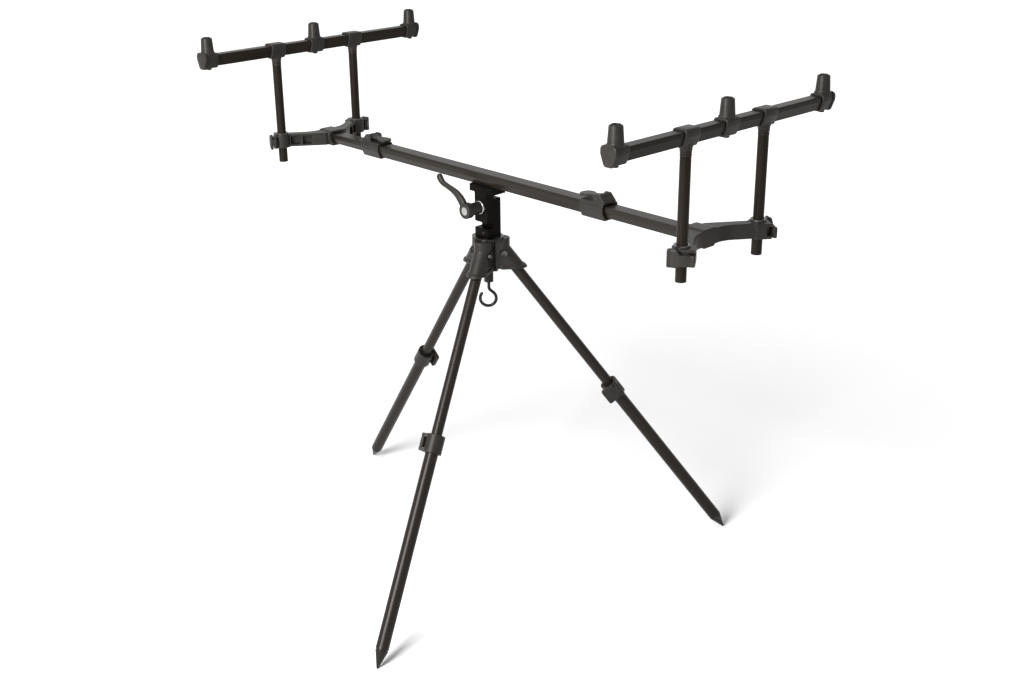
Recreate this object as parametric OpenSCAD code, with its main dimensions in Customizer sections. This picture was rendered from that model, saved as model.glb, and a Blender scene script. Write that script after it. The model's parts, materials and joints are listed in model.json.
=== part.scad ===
/* [Legs] */
// Spread of each leg from the vertical, in degrees
leg_splay = 36.2; // [33:0.1:40]
// Distance from a leg's pivot to the small ball at its spike's end
leg_reach = 602; // [500:1:730]
// Distance from a leg's pivot to the middle of its lock collar
collar_place = 285; // [250:1:330]
// Outside diameter of the upper leg tube
upper_leg_d = 16; // [13:0.1:19.5]
// Wall of both leg tubes
leg_wall = 1.2; // [0.8:0.1:1.6]
// Length of upper tube hidden inside the lower tube
leg_overlap = 110; // [80:1:130]
// Length of the lock collar
collar_len = 27; // [24:0.5:34]
// Thickness of the lock collar's ring
collar_ring = 4; // [3:0.1:5]
// Length of the spike's cone
spike_len = 28; // [20:0.5:36]
// Radius of the spike's blunt end
spike_tip_r = 1.5; // [1:0.1:2]
// Direction of the front leg in plan, in degrees from the bar's near end
front_leg_turn = -67.8; // [-75:0.1:-60]

/* [Hub] */
// Distance of each leg pivot from the hub's axis
pivot_r = 22; // [21:0.5:26]
// Height of the hub's top above the leg pivots
hub_rise = 22; // [18:0.5:28]
// Depth of the hoods below the leg pivots
hood_drop = 24; // [20:0.5:30]
// Thickness of the hoods' cheeks and outer wall
hood_wall = 4.7; // [3.5:0.1:6]
// Projection and height of the lip round the foot of each hood
hood_lip = 2; // [1:0.1:3]
// Diameter of the leg pivot bolts
pivot_bolt_d = 6; // [5:0.1:8]

/* [Hook] */
// Diameter of the hook's wire
hook_wire_d = 4.6; // [3:0.1:5]
// Radius of the hook's loop to the middle of the wire
hook_loop_r = 12; // [10:0.5:14]
// Diameter of the plug that the hook screws into
hook_plug_d = 14; // [11:0.5:16]
// Height of the plug that shows below the hub
hook_plug_h = 18; // [12:0.5:24]
// Direction of the hook's loop in plan, in degrees
hook_turn = 46; // [0:1:90]

/* [Mast] */
// Diameter of the swivel washer
washer_d = 47; // [40:0.5:52]
// Thickness of the swivel washer
washer_t = 3; // [2:0.1:5]
// Side of the square mast block
mast_side = 27; // [24:0.5:32]
// Height of the mast block's low half
mast_base_h = 14; // [12:0.5:18]
// Height of the mast block's tall cheek
mast_cheek_h = 58; // [54:0.5:66]
// Height of the tilt bolt above the mast block's foot
tilt_rise = 46; // [42:0.5:50]
// Diameter of the bolt that the mast swivels on
mast_bolt_d = 12; // [10:0.5:13]
// Diameter of the tilt bolt
tilt_bolt_d = 8; // [6:0.1:9]

/* [Tilt lever] */
// Diameter of the lever's boss
boss_d = 18; // [16:0.5:20]
// Diameter of the ring at the front of the boss
boss_ring_d = 23; // [21:0.5:26]
// Length of the lever's boss
boss_len = 28; // [24:0.5:34]
// Diameter of the lever's arm
lever_arm_d = 9; // [7:0.1:10]
// Length of the straight stretch at the root of the arm
lever_root = 14; // [12:0.5:20]

/* [Main bar] */
// Width of the main tube
bar_w = 25; // [21:0.1:30]
// Height of the main tube
bar_h = 18.5; // [17:0.1:22]
// Width of the main tube's flat underside
bar_foot_w = 16; // [13:0.1:18]
// Height of the main tube's upright sides
bar_side_h = 9; // [7:0.1:11]
// Radius of the main tube's upper edges
bar_edge_r = 3; // [1.8:0.1:4]
// Wall of the main tube and the inner bars
bar_wall = 1.2; // [0.9:0.1:1.6]
// Length of the main tube from the mast towards the near end
bar_near = 232; // [210:1:290]
// Length of the main tube from the mast towards the far end
bar_far = 268; // [230:1:300]
// Distance from the mast to the near stems
near_reach = 424.6; // [350:0.1:510]
// Distance from the mast to the far stems
far_reach = 405.1; // [370:0.1:490]
// Length of inner bar hidden inside the main tube
bar_overlap = 80; // [60:1:84]
// Length of the collars on the main tube's ends
bar_collar_len = 42; // [38:0.5:48]
// Thickness of those collars
bar_collar_t = 3; // [2.5:0.1:4]
// Distance from the tilt bolt up to the main tube's underside
bracket_rise = 31.5; // [28:0.5:36]
// Length of the bracket's plate along the bar
bracket_len = 48; // [46:0.5:60]
// Thickness of the bracket's plate
bracket_t = 11; // [8:0.5:12]

/* [Heads] */
// Distance between the two stems of a head
stem_gap = 150; // [140:1:180]
// Distance from the stem line in to the head's mouth
head_mouth = 48; // [44:0.5:56]
// Distance from the stem line in to the head's outer face
head_face = 17; // [15:0.5:20]
// Height of the head's arms
arm_h = 20; // [18:0.5:24]
// Thickness of the head's arms in plan
arm_t = 16.5; // [14:0.1:18]
// Sweep of the head's arms, in degrees
arm_sweep = 35; // [32:0.5:38]
// Thickness of the arms' webs and flanges
arm_wall = 3.5; // [2.5:0.1:4.5]
// Outside diameter of the ring round each stem
ring_d = 25; // [23:0.1:28]
// Outside diameter of the bush in each ring
bush_d = 18; // [16.6:0.1:19]

/* [Stems and buzz bars] */
// Outside diameter of the stems
stem_d = 14; // [11.5:0.1:15]
// Wall of the stems
stem_wall = 1; // [0.8:0.1:1.6]
// Length of the stems
stem_len = 161; // [150:1:200]
// Length of stem that hangs below the level of the bar's top
stem_drop = 43; // [42:0.5:60]
// Width of the buzz bar tube
buzz_w = 17; // [15:0.1:20]
// Height of the buzz bar tube
buzz_h = 17.5; // [15:0.1:21]
// Width of the buzz bar tube's flat underside
buzz_foot_w = 8; // [6:0.1:9]
// Height of the buzz bar tube's upright sides
buzz_side_h = 6; // [5:0.1:8]
// Wall of the buzz bar tube
buzz_wall = 1.1; // [0.8:0.1:1.6]
// Distance between neighbouring rod sockets
socket_gap = 197; // [170:1:230]
// Height of a rod socket's nozzle above the tube
nozzle_h = 25; // [22:0.5:32]
// Diameter of the nozzle's top
nozzle_top_d = 16.4; // [15:0.1:18]
// Diameter of the nozzle's base
nozzle_base_d = 20; // [18.5:0.1:22]
// Diameter of the socket's screw thread, three eighths of an inch
thread_d = 9.525; // [8:0.001:10]

/* [Clearances] */
// Gap round tubes that slide in each other
slide_gap = 0.3; // [0.2:0.05:0.4]
// Radial gap of pins and shafts that turn or slide in a bore
running_gap = 0.06; // [0.03:0.01:0.1]
// Gap round pieces that are fixed in their seats
seat_gap = 0.05; // [0.02:0.01:0.1]
// Gap beside levers and other moving faces
lever_gap = 0.4; // [0.3:0.05:0.6]

/* [Hidden] */
$fn = 64;
LEGS = ["front", "right", "back"];
ENDS = ["near", "far"];
SIDES = ["left", "right"];
LEG_PARTS = ["leg_plug", "upper_leg", "lower_leg", "leg_collar", "leg_lever", "leg_spike"];
END_PARTS = ["bar_collar", "bar_lever", "inner_bar", "head", "stem_bushes", "stems", "tee_clamps",
             "buzz_tube", "rod_sockets", "thread_inserts"];
HUB_PARTS = ["hub", "leg_pivot_bolts", "leg_pivot_nuts", "hook_plug", "weight_hook"];
MAST_PARTS = ["mast_block", "swivel_washer", "mast_bolt", "mast_lock_nut", "mast_set_screw", "tilt_bolt"];
LEVER_PARTS = ["tilt_lever", "tilt_lever_screw", "tilt_washer"];
BAR_PARTS = ["bar_bracket", "bracket_screws", "main_tube", "bar_lever_pins"];

// Colours of the tubes, the mouldings, the plain steel and the dark steel
tube_black = [0.11, 0.10, 0.095];
nylon_black = [0.16, 0.16, 0.16];
plain_steel = [0.62, 0.62, 0.62];
dark_steel = [0.2, 0.18, 0.16];

// Length that cuts run past the faces they open
past = 1;

// Length that stretches of wire run into the bends, and the bends' extra radius
wire_lap = 0.3;
wire_step = 0.03;

// Leg sizes
upper_leg_r = upper_leg_d / 2;
lower_leg_bore_r = upper_leg_r + slide_gap;
lower_leg_r = lower_leg_bore_r + leg_wall;
collar_r = lower_leg_r + collar_ring;
collar_lip = 2;
lower_leg_top = collar_place - collar_len / 2 + 2 * collar_lip;
lower_leg_end = leg_reach - spike_len;
plug_neck = 14;
plug_spigot = 25;
spike_plug = 18;
leg_turns = [for (i = [0:2]) front_leg_turn + 120 * i];

// Leg lever sizes, on the side of the collar
pin_r = 1.6;
leg_lever_t = 5.5;
leg_lever_h = collar_len - 1.5;
leg_lever_tongue_h = 13.4;
leg_lever_len = 21;
leg_hinge_x = 8;
leg_hinge_r = 3.3;
collar_flat = lower_leg_r + 1.6;
leg_hinge_y = collar_flat + leg_hinge_r + lever_gap;
leg_lever_in = collar_flat + lever_gap;

// Heights and places of the assembly, with the ground at zero
pivot_z = leg_reach * cos(leg_splay) + spike_tip_r;
tip_r = pivot_r + leg_reach * sin(leg_splay);
tip_y = [for (turn = leg_turns) tip_r * sin(turn)];
hub_x = (far_reach - near_reach) / 2;
hub_y = -(min(tip_y) + max(tip_y)) / 2;
mast_z = pivot_z + hub_rise + washer_t;
tilt_z = mast_z + tilt_rise;
bar_foot_z = tilt_z + bracket_rise;
bar_z = bar_foot_z + bar_h;

// Hub sizes
hood_bore_r = upper_leg_r + slide_gap;
hood_r = hood_bore_r + hood_wall;
hood_post_x = 19;
hood_lip_h = 4.5;
hub_step = 0.6;
hood_start = hood_r * 0.53;
core_r = hood_r + 3;
lip_start = core_r + 2;
core_drop = hood_drop + 4;
hub_slot_w = 3;
hub_slot_in = 12.5;
chamber_r = 10.5;
chamber_h = 18;
counterbore_r = pivot_bolt_d;
counterbore_h = 1.5;
bolt_head_r = pivot_bolt_d * 0.83;
bolt_head_h = 3;
pivot_nut_r = pivot_bolt_d * 0.92;
pivot_nut_h = 4;
bolt_end = 1.6;

// Hook sizes
hook_wire_r = hook_wire_d / 2;
hook_plug_top = 7;
hook_thread = 10;
hook_top = hook_thread - core_drop - hook_plug_h;
hook_shank = 9;
hook_bend_r = 7;
hook_bend = 50;
hook_link = 5.2;
hook_sweep = 268;

// Mast sizes
mast_half = mast_side / 2;
split_gap = 0.15;
mast_bolt_seat = 10;
mast_bolt_r = mast_bolt_d / 2;
lock_nut_r = 9.5;
lock_nut_h = 8;
set_screw_r = 2;
set_screw_x = 4;
set_screw_z = 7;
tilt_bolt_r = tilt_bolt_d / 2;
tilt_head_r = 7;
tilt_head_h = 4.5;
tongue_drop = 23;
tilt_washer_r = 8.5;
tilt_washer_t = 4;

// Tilt lever sizes
boss_in = mast_half + tilt_washer_t + 2 * split_gap;
boss_out = boss_in + boss_len;
boss_front = 6;
lever_screw_r = 6;
lever_screw_h = 2;
lever_screw_shank = 2.5;
lever_turn = 128;
lever_bend_r = [42, 17];
lever_bend = [35, 50];
lever_link = 18;
boss_ring_len = 11;
lever_inset = 0.6;
lever_start = 0.3 * boss_d;

// Bar sizes
inner_off = bar_wall + slide_gap;
bar_ends = [bar_near, bar_far];
reaches = [near_reach, far_reach];
collar_mouth = 8;
bracket_screw_x = 18;
bracket_screw_r = 2;
bracket_screw_head_r = 4;
bracket_screw_head_h = 4;
bracket_screw_past = 2.5;

// Bar lever sizes, on top of each bar collar
block_half = 12;
block_h = 13;
block_pocket = 8;
block_floor = bar_collar_t + 0.4;
bar_pin_x = -5.5;
bar_pin_z = 8.5;
bar_eye_r = 4;
bar_lever_len = 27;
bar_lever_t = 4;
bar_lever_rise = -5;
thumb_r = 11;
eye_step = 0.3;

// Head sizes
head_wall = 4.5;
arm_top = 1;
arm_end = arm_top - arm_h;
ring_r = ring_d / 2;
ring_top = arm_top + 0.5;
ring_foot = arm_end - 0.5;
face_flat = 16;
face_curve_r = 40;
bush_lip_r = bush_d / 2 + 1.2;
bush_lip_h = 2.5;
stem_r = stem_d / 2;
socket_depth = head_mouth - head_face - head_wall;
groove = 1;

// Stem lever sizes, across the end of each arm
lug_x = 17.5;
lug_in = 8;
lug_out = ring_r + 1.1;
slot_x = 9;
slot_y = 7;
slot_h = 11.4;
hinge_x = 13.5;
hinge_r = 3.2;
hinge_y = lug_out - hinge_r;
hinge_h = 12;
lug_step = 0.3;
stem_lever_t = 6.3;
stem_lever_h = 24;

// Buzz bar sizes
buzz_edge_r = 1.8;
tee_t = 2.8;
tee_len = 26;
tee_collar_r = stem_r + 1.5;
tee_collar_h = 5;
tee_spigot = 25;
stem_band = 1.2;
stem_band_depth = 0.35;
stem_band_z = [5, 9];
stem_plug = 3;
socket_t = 2.6;
socket_len = 25;
socket_end_wall = 4.5;
socket_cap_t = 2.5;
socket_cap_off = 1.2;
foot_r = 4;
foot_h = 2.5;
insert_r = thread_d / 2 + 1.3;
insert_lip = 1;
insert_floor = 3;
stem_top_z = stem_len - stem_drop;
buzz_top_z = stem_top_z + tee_collar_h + tee_t + buzz_h;

// Points along an arc
function arc(x, y, r, from, to, steps) =
    [for (i = [0:steps]) [x + r * cos(from + (to - from) * i / steps), y + r * sin(from + (to - from) * i / steps)]];

// Outline of a bar with a flat top, upright sides and a tapered foot, drawn in by a distance
function shield(w, h, foot, side, edge, in) =
    let (
        slope = atan((w - foot) / 2 / (h - side)),
        half = w / 2 - in,
        r = max(edge - in, 0.5),
        side_end = -side + in * tan(slope / 2),
        foot_half = foot / 2 - in * tan((90 - slope) / 2)
    )
    concat(
        arc(half - r, -in - r, r, 90, 0, 4),
        [[half, side_end], [foot_half, in - h], [-foot_half, in - h], [-half, side_end]],
        arc(r - half, -in - r, r, 180, 90, 4)
    );

module bar_section(in) {
    polygon(shield(bar_w, bar_h, bar_foot_w, bar_side_h, bar_edge_r, in));
}

module buzz_section(in) {
    polygon(shield(buzz_w, buzz_h, buzz_foot_w, buzz_side_h, buzz_edge_r, in));
}

// Sweeps of an outline along the bar and across it
module along_x(from, to) {
    translate([from, 0, 0])
        rotate([90, 0, 90])
            linear_extrude(to - from)
                children();
}

module along_y(from, to) {
    translate([0, to, 0])
        rotate([90, 0, 0])
            linear_extrude(to - from)
                children();
}

// Round bar between two heights, and between two places across
module rod(r, from, to) {
    translate([0, 0, from])
        cylinder(r = r, h = to - from);
}

module cross_rod(r, from, to, sides = $fn) {
    translate([0, to, 0])
        rotate([90, 0, 0])
            cylinder(r = r, h = to - from, $fn = sides);
}

module pipe(r, bore, from, to) {
    difference() {
        rod(r, from, to);
        rod(bore, from - past, to + past);
    }
}

module rounded_plate(w, h, r) {
    square([w - 2 * r, h], center = true);
    square([w, h - 2 * r], center = true);
    for (x = [-1, 1])
        for (y = [-1, 1])
            translate([x * (w / 2 - r), y * (h / 2 - r)])
                circle(r = r);
}

// Wire or arm laid out step by step along +X, with bends a hair thicker than the stretches that run into them
module straight(length, r) {
    translate([-wire_lap, 0, 0])
        rotate([0, 90, 0])
            cylinder(r = r, h = length + 2 * wire_lap);
    translate([length, 0, 0])
        children();
}

module bend(bend_r, angle, r) {
    translate([0, bend_r, 0])
        rotate([0, 0, -90])
            rotate_extrude(angle = angle)
                translate([bend_r, 0])
                    circle(r = r + wire_step);
    translate([0, bend_r, 0])
        rotate([0, 0, angle])
            translate([0, -bend_r, 0])
                children();
}

module bend_back(bend_r, angle, r) {
    mirror([0, 1, 0])
        bend(bend_r, angle, r)
            mirror([0, 1, 0])
                children();
}

module round_end(r) {
    translate([-wire_lap, 0, 0])
        rotate([0, 90, 0])
            rotate_extrude() {
                square([r, wire_lap]);
                translate([0, wire_lap])
                    intersection() {
                        circle(r = r);
                        square(r);
                    }
            }
}

// Places that pieces are drawn in
module at_hub() {
    translate([hub_x, hub_y, pivot_z])
        children();
}

module at_pivot(i) {
    at_hub()
        rotate([0, 0, leg_turns[i]])
            translate([pivot_r, 0, 0])
                children();
}

module at_leg(i) {
    at_pivot(i)
        rotate([0, -leg_splay, 0])
            children();
}

module at_leg_collar(i) {
    at_leg(i)
        translate([0, 0, -collar_place])
            children();
}

module at_mast() {
    translate([hub_x, hub_y, mast_z])
        children();
}

module at_tilt() {
    translate([hub_x, hub_y, tilt_z])
        children();
}

module at_bar() {
    translate([hub_x, hub_y, bar_z])
        children();
}

module at_bar_end(e, place) {
    at_bar()
        mirror([e, 0, 0])
            translate([place[e], 0, 0])
                children();
}

module at_bar_collar(e) {
    at_bar_end(e, bar_ends)
        children();
}

module at_head(e) {
    at_bar_end(e, reaches)
        children();
}

module at_stem(e, side) {
    at_head(e)
        mirror([0, side == 0 ? 1 : 0, 0])
            translate([0, stem_gap / 2, 0])
                children();
}

module at_buzz(e) {
    at_head(e)
        translate([0, 0, buzz_top_z])
            children();
}

// Plan of a hood, round outside and straight towards the hub
module hood_plan(r, length) {
    circle(r = r);
    translate([-length, -r])
        square([length, 2 * r]);
}

// Hub moulding with its three hoods
module hood(r, start, from, to) {
    long = 3 * (hub_rise + hood_drop);
    intersection() {
        translate([pivot_r, 0, 0])
            rotate([0, -leg_splay, 0])
                translate([0, 0, -long / 2])
                    linear_extrude(long)
                        hood_plan(r, long);
        translate([start, -2 * r, from])
            cube([long, 4 * r, to - from]);
    }
}

module hood_post() {
    translate([hood_post_x, 0, -hood_drop])
        linear_extrude(hood_drop + hub_rise)
            hood_plan(hood_r, hood_post_x - hood_start);
}

module hood_room() {
    deep = 2 * hood_drop;
    translate([pivot_r, 0, 0]) {
        cross_rod(hood_bore_r, -hood_bore_r, hood_bore_r);
        rotate([0, -leg_splay, 0])
            rod(hood_bore_r, -2 * deep, 0);
    }
    along_y(-hood_bore_r, hood_bore_r)
        polygon([
            [pivot_r - hood_bore_r, 0],
            [pivot_r, 0],
            [pivot_r + deep * tan(leg_splay), -deep],
            [pivot_r - hood_bore_r, -deep]
        ]);
}

module hub() {
    color(nylon_black)
        at_hub()
            difference() {
                union() {
                    rod(core_r, -core_drop, hub_rise - hub_step);
                    for (turn = leg_turns)
                        rotate([0, 0, turn]) {
                            hood(hood_r, hood_start, -hood_drop, hub_rise - 2 * hub_step);
                            hood(hood_r + hood_lip, lip_start, -hood_drop - hub_step, hood_lip_h - hood_drop);
                            hood_post();
                        }
                }
                for (turn = leg_turns)
                    rotate([0, 0, turn]) {
                        hood_room();
                        translate([pivot_r, 0, 0]) {
                            cross_rod(pivot_bolt_d / 2 + seat_gap, -2 * hood_r, 2 * hood_r);
                            cross_rod(counterbore_r, hood_r - counterbore_h, 2 * hood_r);
                            cross_rod(counterbore_r, -2 * hood_r, counterbore_h - hood_r);
                        }
                    }
                for (turn = leg_turns)
                    rotate([0, 0, turn + 60])
                        translate([hub_slot_in, -hub_slot_w / 2, -core_drop - past])
                            cube([core_r, hub_slot_w, core_drop + hub_rise + 2 * past]);
                rod(mast_bolt_r + running_gap, -core_drop, hub_rise + past);
                rod(chamber_r, -core_drop - past, chamber_h - core_drop);
            }
}

module leg_pivot_bolts() {
    seat = hood_r - counterbore_h;
    color(dark_steel)
        for (i = [0:2])
            at_pivot(i) {
                cross_rod(pivot_bolt_d / 2, -seat, seat + pivot_nut_h + bolt_end);
                cross_rod(bolt_head_r, -seat - bolt_head_h, -seat);
            }
}

module leg_pivot_nuts() {
    seat = hood_r - counterbore_h;
    color(plain_steel)
        for (i = [0:2])
            at_pivot(i)
                difference() {
                    cross_rod(pivot_nut_r, seat, seat + pivot_nut_h, 6);
                    cross_rod(pivot_bolt_d / 2 + seat_gap, 0, 2 * hood_r);
                }
}

// Plug that closes the hub's foot, and the hook in it
module hook_plug() {
    color(nylon_black)
        at_hub()
            difference() {
                union() {
                    rod(chamber_r - seat_gap, -core_drop, hook_plug_top - core_drop);
                    rod(hook_plug_d / 2, -core_drop - hook_plug_h, -core_drop);
                }
                rod(hook_wire_r + seat_gap, -core_drop - hook_plug_h - past, hook_top + wire_lap);
            }
}

module weight_hook() {
    color(dark_steel)
        at_hub()
            translate([0, 0, hook_top])
                rotate([0, 0, hook_turn])
                    rotate([90, 0, 0])
                        rotate([0, 0, -90])
                            straight(hook_thread + hook_shank, hook_wire_r)
                                bend(hook_bend_r, hook_bend, hook_wire_r)
                                    straight(hook_link, hook_wire_r)
                                        bend_back(hook_loop_r, hook_sweep, hook_wire_r)
                                            round_end(hook_wire_r);
}

// Mast that swivels on the hub
module swivel_washer() {
    color(dark_steel)
        at_mast()
            pipe(washer_d / 2, mast_bolt_r + seat_gap, -washer_t, 0);
}

module mast_block() {
    color(nylon_black)
        at_mast()
            difference() {
                union() {
                    translate([-mast_half, -mast_half, 0])
                        cube([mast_side, mast_side, mast_base_h]);
                    translate([-mast_half, split_gap, 0])
                        cube([mast_side, mast_half - split_gap, mast_cheek_h]);
                }
                rod(mast_bolt_r + seat_gap, -past, mast_bolt_seat);
                translate([set_screw_x, 0, set_screw_z])
                    cross_rod(set_screw_r + seat_gap, -mast_side, -mast_bolt_r);
                translate([0, 0, tilt_rise]) {
                    cross_rod(tilt_bolt_r + seat_gap, 0, mast_side);
                    cross_rod(tilt_head_r + seat_gap, mast_half - tilt_head_h, mast_side, 6);
                }
            }
}

module mast_bolt() {
    color(plain_steel)
        at_mast()
            rod(mast_bolt_r, -washer_t - hub_rise - core_drop + chamber_h - lock_nut_h - past, mast_bolt_seat);
}

module mast_lock_nut() {
    color(plain_steel)
        at_hub()
            translate([0, 0, chamber_h - core_drop - lock_nut_h - slide_gap])
                difference() {
                    cylinder(r = lock_nut_r, h = lock_nut_h, $fn = 6);
                    rod(mast_bolt_r + seat_gap, -past, lock_nut_h + past);
                }
}

module mast_set_screw() {
    color(plain_steel)
        at_mast()
            translate([set_screw_x, 0, set_screw_z])
                cross_rod(set_screw_r, 0.5 - mast_half, -mast_bolt_r);
}

module tilt_bolt() {
    color(plain_steel)
        at_tilt() {
            cross_rod(tilt_bolt_r, boss_front - boss_out, mast_half - tilt_head_h);
            cross_rod(tilt_head_r, mast_half - tilt_head_h, mast_half, 6);
        }
}

// Lever that clamps the tilt
module tilt_washer() {
    color(plain_steel)
        at_tilt()
            difference() {
                cross_rod(tilt_washer_r, split_gap - boss_in, -mast_half - split_gap);
                cross_rod(tilt_bolt_r + running_gap, -boss_out, 0);
            }
}

module tilt_lever() {
    arm_y = lever_arm_d / 2 + lever_inset - boss_out;
    arm_r = lever_arm_d / 2;
    color(nylon_black)
        at_tilt()
            difference() {
                union() {
                    cross_rod(boss_d / 2, -boss_out + past, -boss_in);
                    cross_rod(boss_ring_d / 2, -boss_out, boss_ring_len - boss_out);
                    translate([0, arm_y, 0])
                        rotate([90, 0, 0])
                            rotate([0, 0, lever_turn])
                                translate([lever_start, 0, 0])
                                    straight(lever_root - lever_start, arm_r)
                                        bend(lever_bend_r[0], lever_bend[0], arm_r)
                                            straight(lever_link, arm_r)
                                                bend_back(lever_bend_r[1], lever_bend[1], arm_r)
                                                    round_end(arm_r);
                }
                cross_rod(tilt_bolt_r + running_gap, boss_front - boss_out - slide_gap, 0);
                cross_rod(lever_screw_shank + seat_gap, -boss_out - past, 0);
                cross_rod(lever_screw_r + seat_gap, -boss_out - past, lever_screw_h - boss_out);
            }
}

module tilt_lever_screw() {
    color(plain_steel)
        at_tilt() {
            cross_rod(lever_screw_r, 0.3 - boss_out, lever_screw_h - boss_out);
            cross_rod(lever_screw_shank, lever_screw_h - boss_out, boss_front - 1 - boss_out);
        }
}

// Bracket that carries the bar on the tilt bolt
module bar_bracket() {
    plate_z = bracket_rise - bracket_t;
    color(nylon_black)
        at_tilt()
            difference() {
                union() {
                    translate([-bracket_len / 2, -mast_half, plate_z])
                        cube([bracket_len, mast_side, bracket_t]);
                    translate([-mast_half, -mast_half, -tongue_drop])
                        cube([mast_side, mast_half - split_gap, tongue_drop + plate_z]);
                }
                cross_rod(tilt_bolt_r + running_gap, -mast_side, mast_side);
                for (x = [-bracket_screw_x, bracket_screw_x])
                    translate([x, 0, 0]) {
                        rod(bracket_screw_r + seat_gap, plate_z - past, bracket_rise + past);
                        rod(bracket_screw_head_r + seat_gap, plate_z - past, plate_z + bracket_screw_head_h);
                    }
            }
}

module bracket_screws() {
    head_z = bracket_rise - bracket_t + bracket_screw_head_h;
    color(dark_steel)
        at_tilt()
            for (x = [-bracket_screw_x, bracket_screw_x])
                translate([x, 0, 0]) {
                    rod(bracket_screw_r, head_z, bracket_rise + bracket_screw_past);
                    rod(bracket_screw_head_r, head_z - bracket_screw_head_h + 0.5, head_z);
                }
}

// Main tube and the collars on its ends
module main_tube() {
    color(tube_black)
        at_bar()
            difference() {
                along_x(-bar_far, bar_near)
                    bar_section(0);
                along_x(-bar_far - past, bar_near + past)
                    bar_section(bar_wall);
                for (x = [-bracket_screw_x, bracket_screw_x])
                    translate([x, 0, 0])
                        rod(bracket_screw_r + seat_gap, -bar_h - past, -bar_h / 2);
            }
}

module bar_collar(e) {
    color(nylon_black)
        at_bar_collar(e)
            difference() {
                union() {
                    along_x(collar_mouth - bar_collar_len, collar_mouth)
                        bar_section(-bar_collar_t);
                    along_y(-block_half, block_half)
                        polygon([
                            [-block_half, bar_collar_t - past],
                            [collar_mouth - 0.5, bar_collar_t - past],
                            [collar_mouth - 0.5, bar_collar_t + 1],
                            [-1, block_h],
                            [bar_pin_x - bar_eye_r, block_h],
                            [-block_half, block_h - 3]
                        ]);
                }
                along_x(-bar_collar_len, bar_collar_len)
                    bar_section(-seat_gap);
                translate([-2 * block_half, -block_pocket, block_floor])
                    cube([2 * block_half + bar_pin_x + bar_eye_r + lever_gap, 2 * block_pocket, block_h]);
                translate([bar_pin_x, 0, bar_pin_z])
                    cross_rod(pin_r + seat_gap, -2 * block_half, 2 * block_half);
                translate([2.5, 0, block_h - 3.5])
                    cube([3, block_half, 2], center = true);
            }
}

module bar_lever_pins() {
    color(dark_steel)
        for (e = [0, 1])
            at_bar_collar(e)
                translate([bar_pin_x, 0, bar_pin_z])
                    cross_rod(pin_r, -block_half, block_half);
}

module bar_lever(e) {
    half = block_pocket - lever_gap;
    color(nylon_black)
        at_bar_collar(e)
            translate([bar_pin_x, 0, bar_pin_z])
                difference() {
                    union() {
                        cross_rod(bar_eye_r, -half, half);
                        rotate([0, bar_lever_rise, 0]) {
                            translate([-bar_lever_len, 0, -bar_lever_t / 2])
                                linear_extrude(bar_lever_t) {
                                    circle(r = thumb_r);
                                    translate([0, eye_step - half])
                                        square([bar_lever_len, 2 * (half - eye_step)]);
                                }
                        }
                    }
                    cross_rod(pin_r + running_gap, -block_half, block_half);
                }
}

// Inner bars and the heads on their outer ends
module inner_bar(e) {
    inner_end = bar_ends[e] - bar_overlap - reaches[e];
    color(tube_black)
        at_head(e)
            difference() {
                along_x(inner_end, socket_depth - head_mouth)
                    bar_section(inner_off);
                along_x(inner_end - past, socket_depth - head_mouth + past)
                    bar_section(inner_off + bar_wall);
            }
}

// Plan of one swept arm, from the middle of the head out to its ring
function arm_out() = [sin(arm_sweep), cos(arm_sweep)];
function arm_side() = [cos(arm_sweep), -sin(arm_sweep)];

module arm_plan() {
    ring = [0, stem_gap / 2];
    outer = ring + ring_r * arm_side();
    inner = ring + (ring_r - arm_t) * arm_side();
    curve_end = [face_curve_r * (1 - cos(arm_sweep)) - head_face, face_flat + face_curve_r * sin(arm_sweep)];
    run = (inner[0] + head_mouth - head_wall) / sin(arm_sweep);
    polygon(concat(
        [[-head_face, 0]],
        arc(face_curve_r - head_face, face_flat, face_curve_r, 180, 180 - arm_sweep, 6),
        [curve_end + max(0, (outer[1] - curve_end[1]) / cos(arm_sweep)) * arm_out(), inner],
        [inner - run * arm_out()],
        [[head_wall - head_mouth, 0]]
    ));
}

module arm_pockets() {
    depth = arm_t - arm_wall + past;
    rib = arm_wall;
    bay = 15;
    for (k = [0, 1])
        translate([0, stem_gap / 2, arm_end + arm_wall])
            rotate([0, 0, -90 - arm_sweep])
                translate([ring_r + 2 + k * (bay + rib), arm_wall - ring_r, 0])
                    cube([bay, depth, arm_h - 2 * arm_wall]);
}

module stem_lug() {
    mid = (ring_top + ring_foot) / 2;
    translate([0, stem_gap / 2, 0])
        rotate([0, 0, -arm_sweep])
            difference() {
                translate([0, 0, ring_foot + lug_step])
                    linear_extrude(ring_top - ring_foot - 2 * lug_step) {
                        translate([0, -lug_in])
                            square([lug_x, lug_in + lug_out]);
                        translate([-hinge_x, hinge_y])
                            circle(r = hinge_r);
                        translate([-hinge_x, hinge_y - hinge_r])
                            square([hinge_x, 2 * hinge_r]);
                    }
                translate([slot_x, slot_y, mid - slot_h / 2])
                    cube([lug_x, lug_x, slot_h]);
                translate([-2 * hinge_x, hinge_y - hinge_r - lever_gap, mid - hinge_h / 2])
                    cube([hinge_x + hinge_r + lever_gap, lug_x, hinge_h]);
                translate([-hinge_x, hinge_y, 0])
                    rod(pin_r + running_gap, ring_foot - past, ring_top + past);
            }
}

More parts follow.
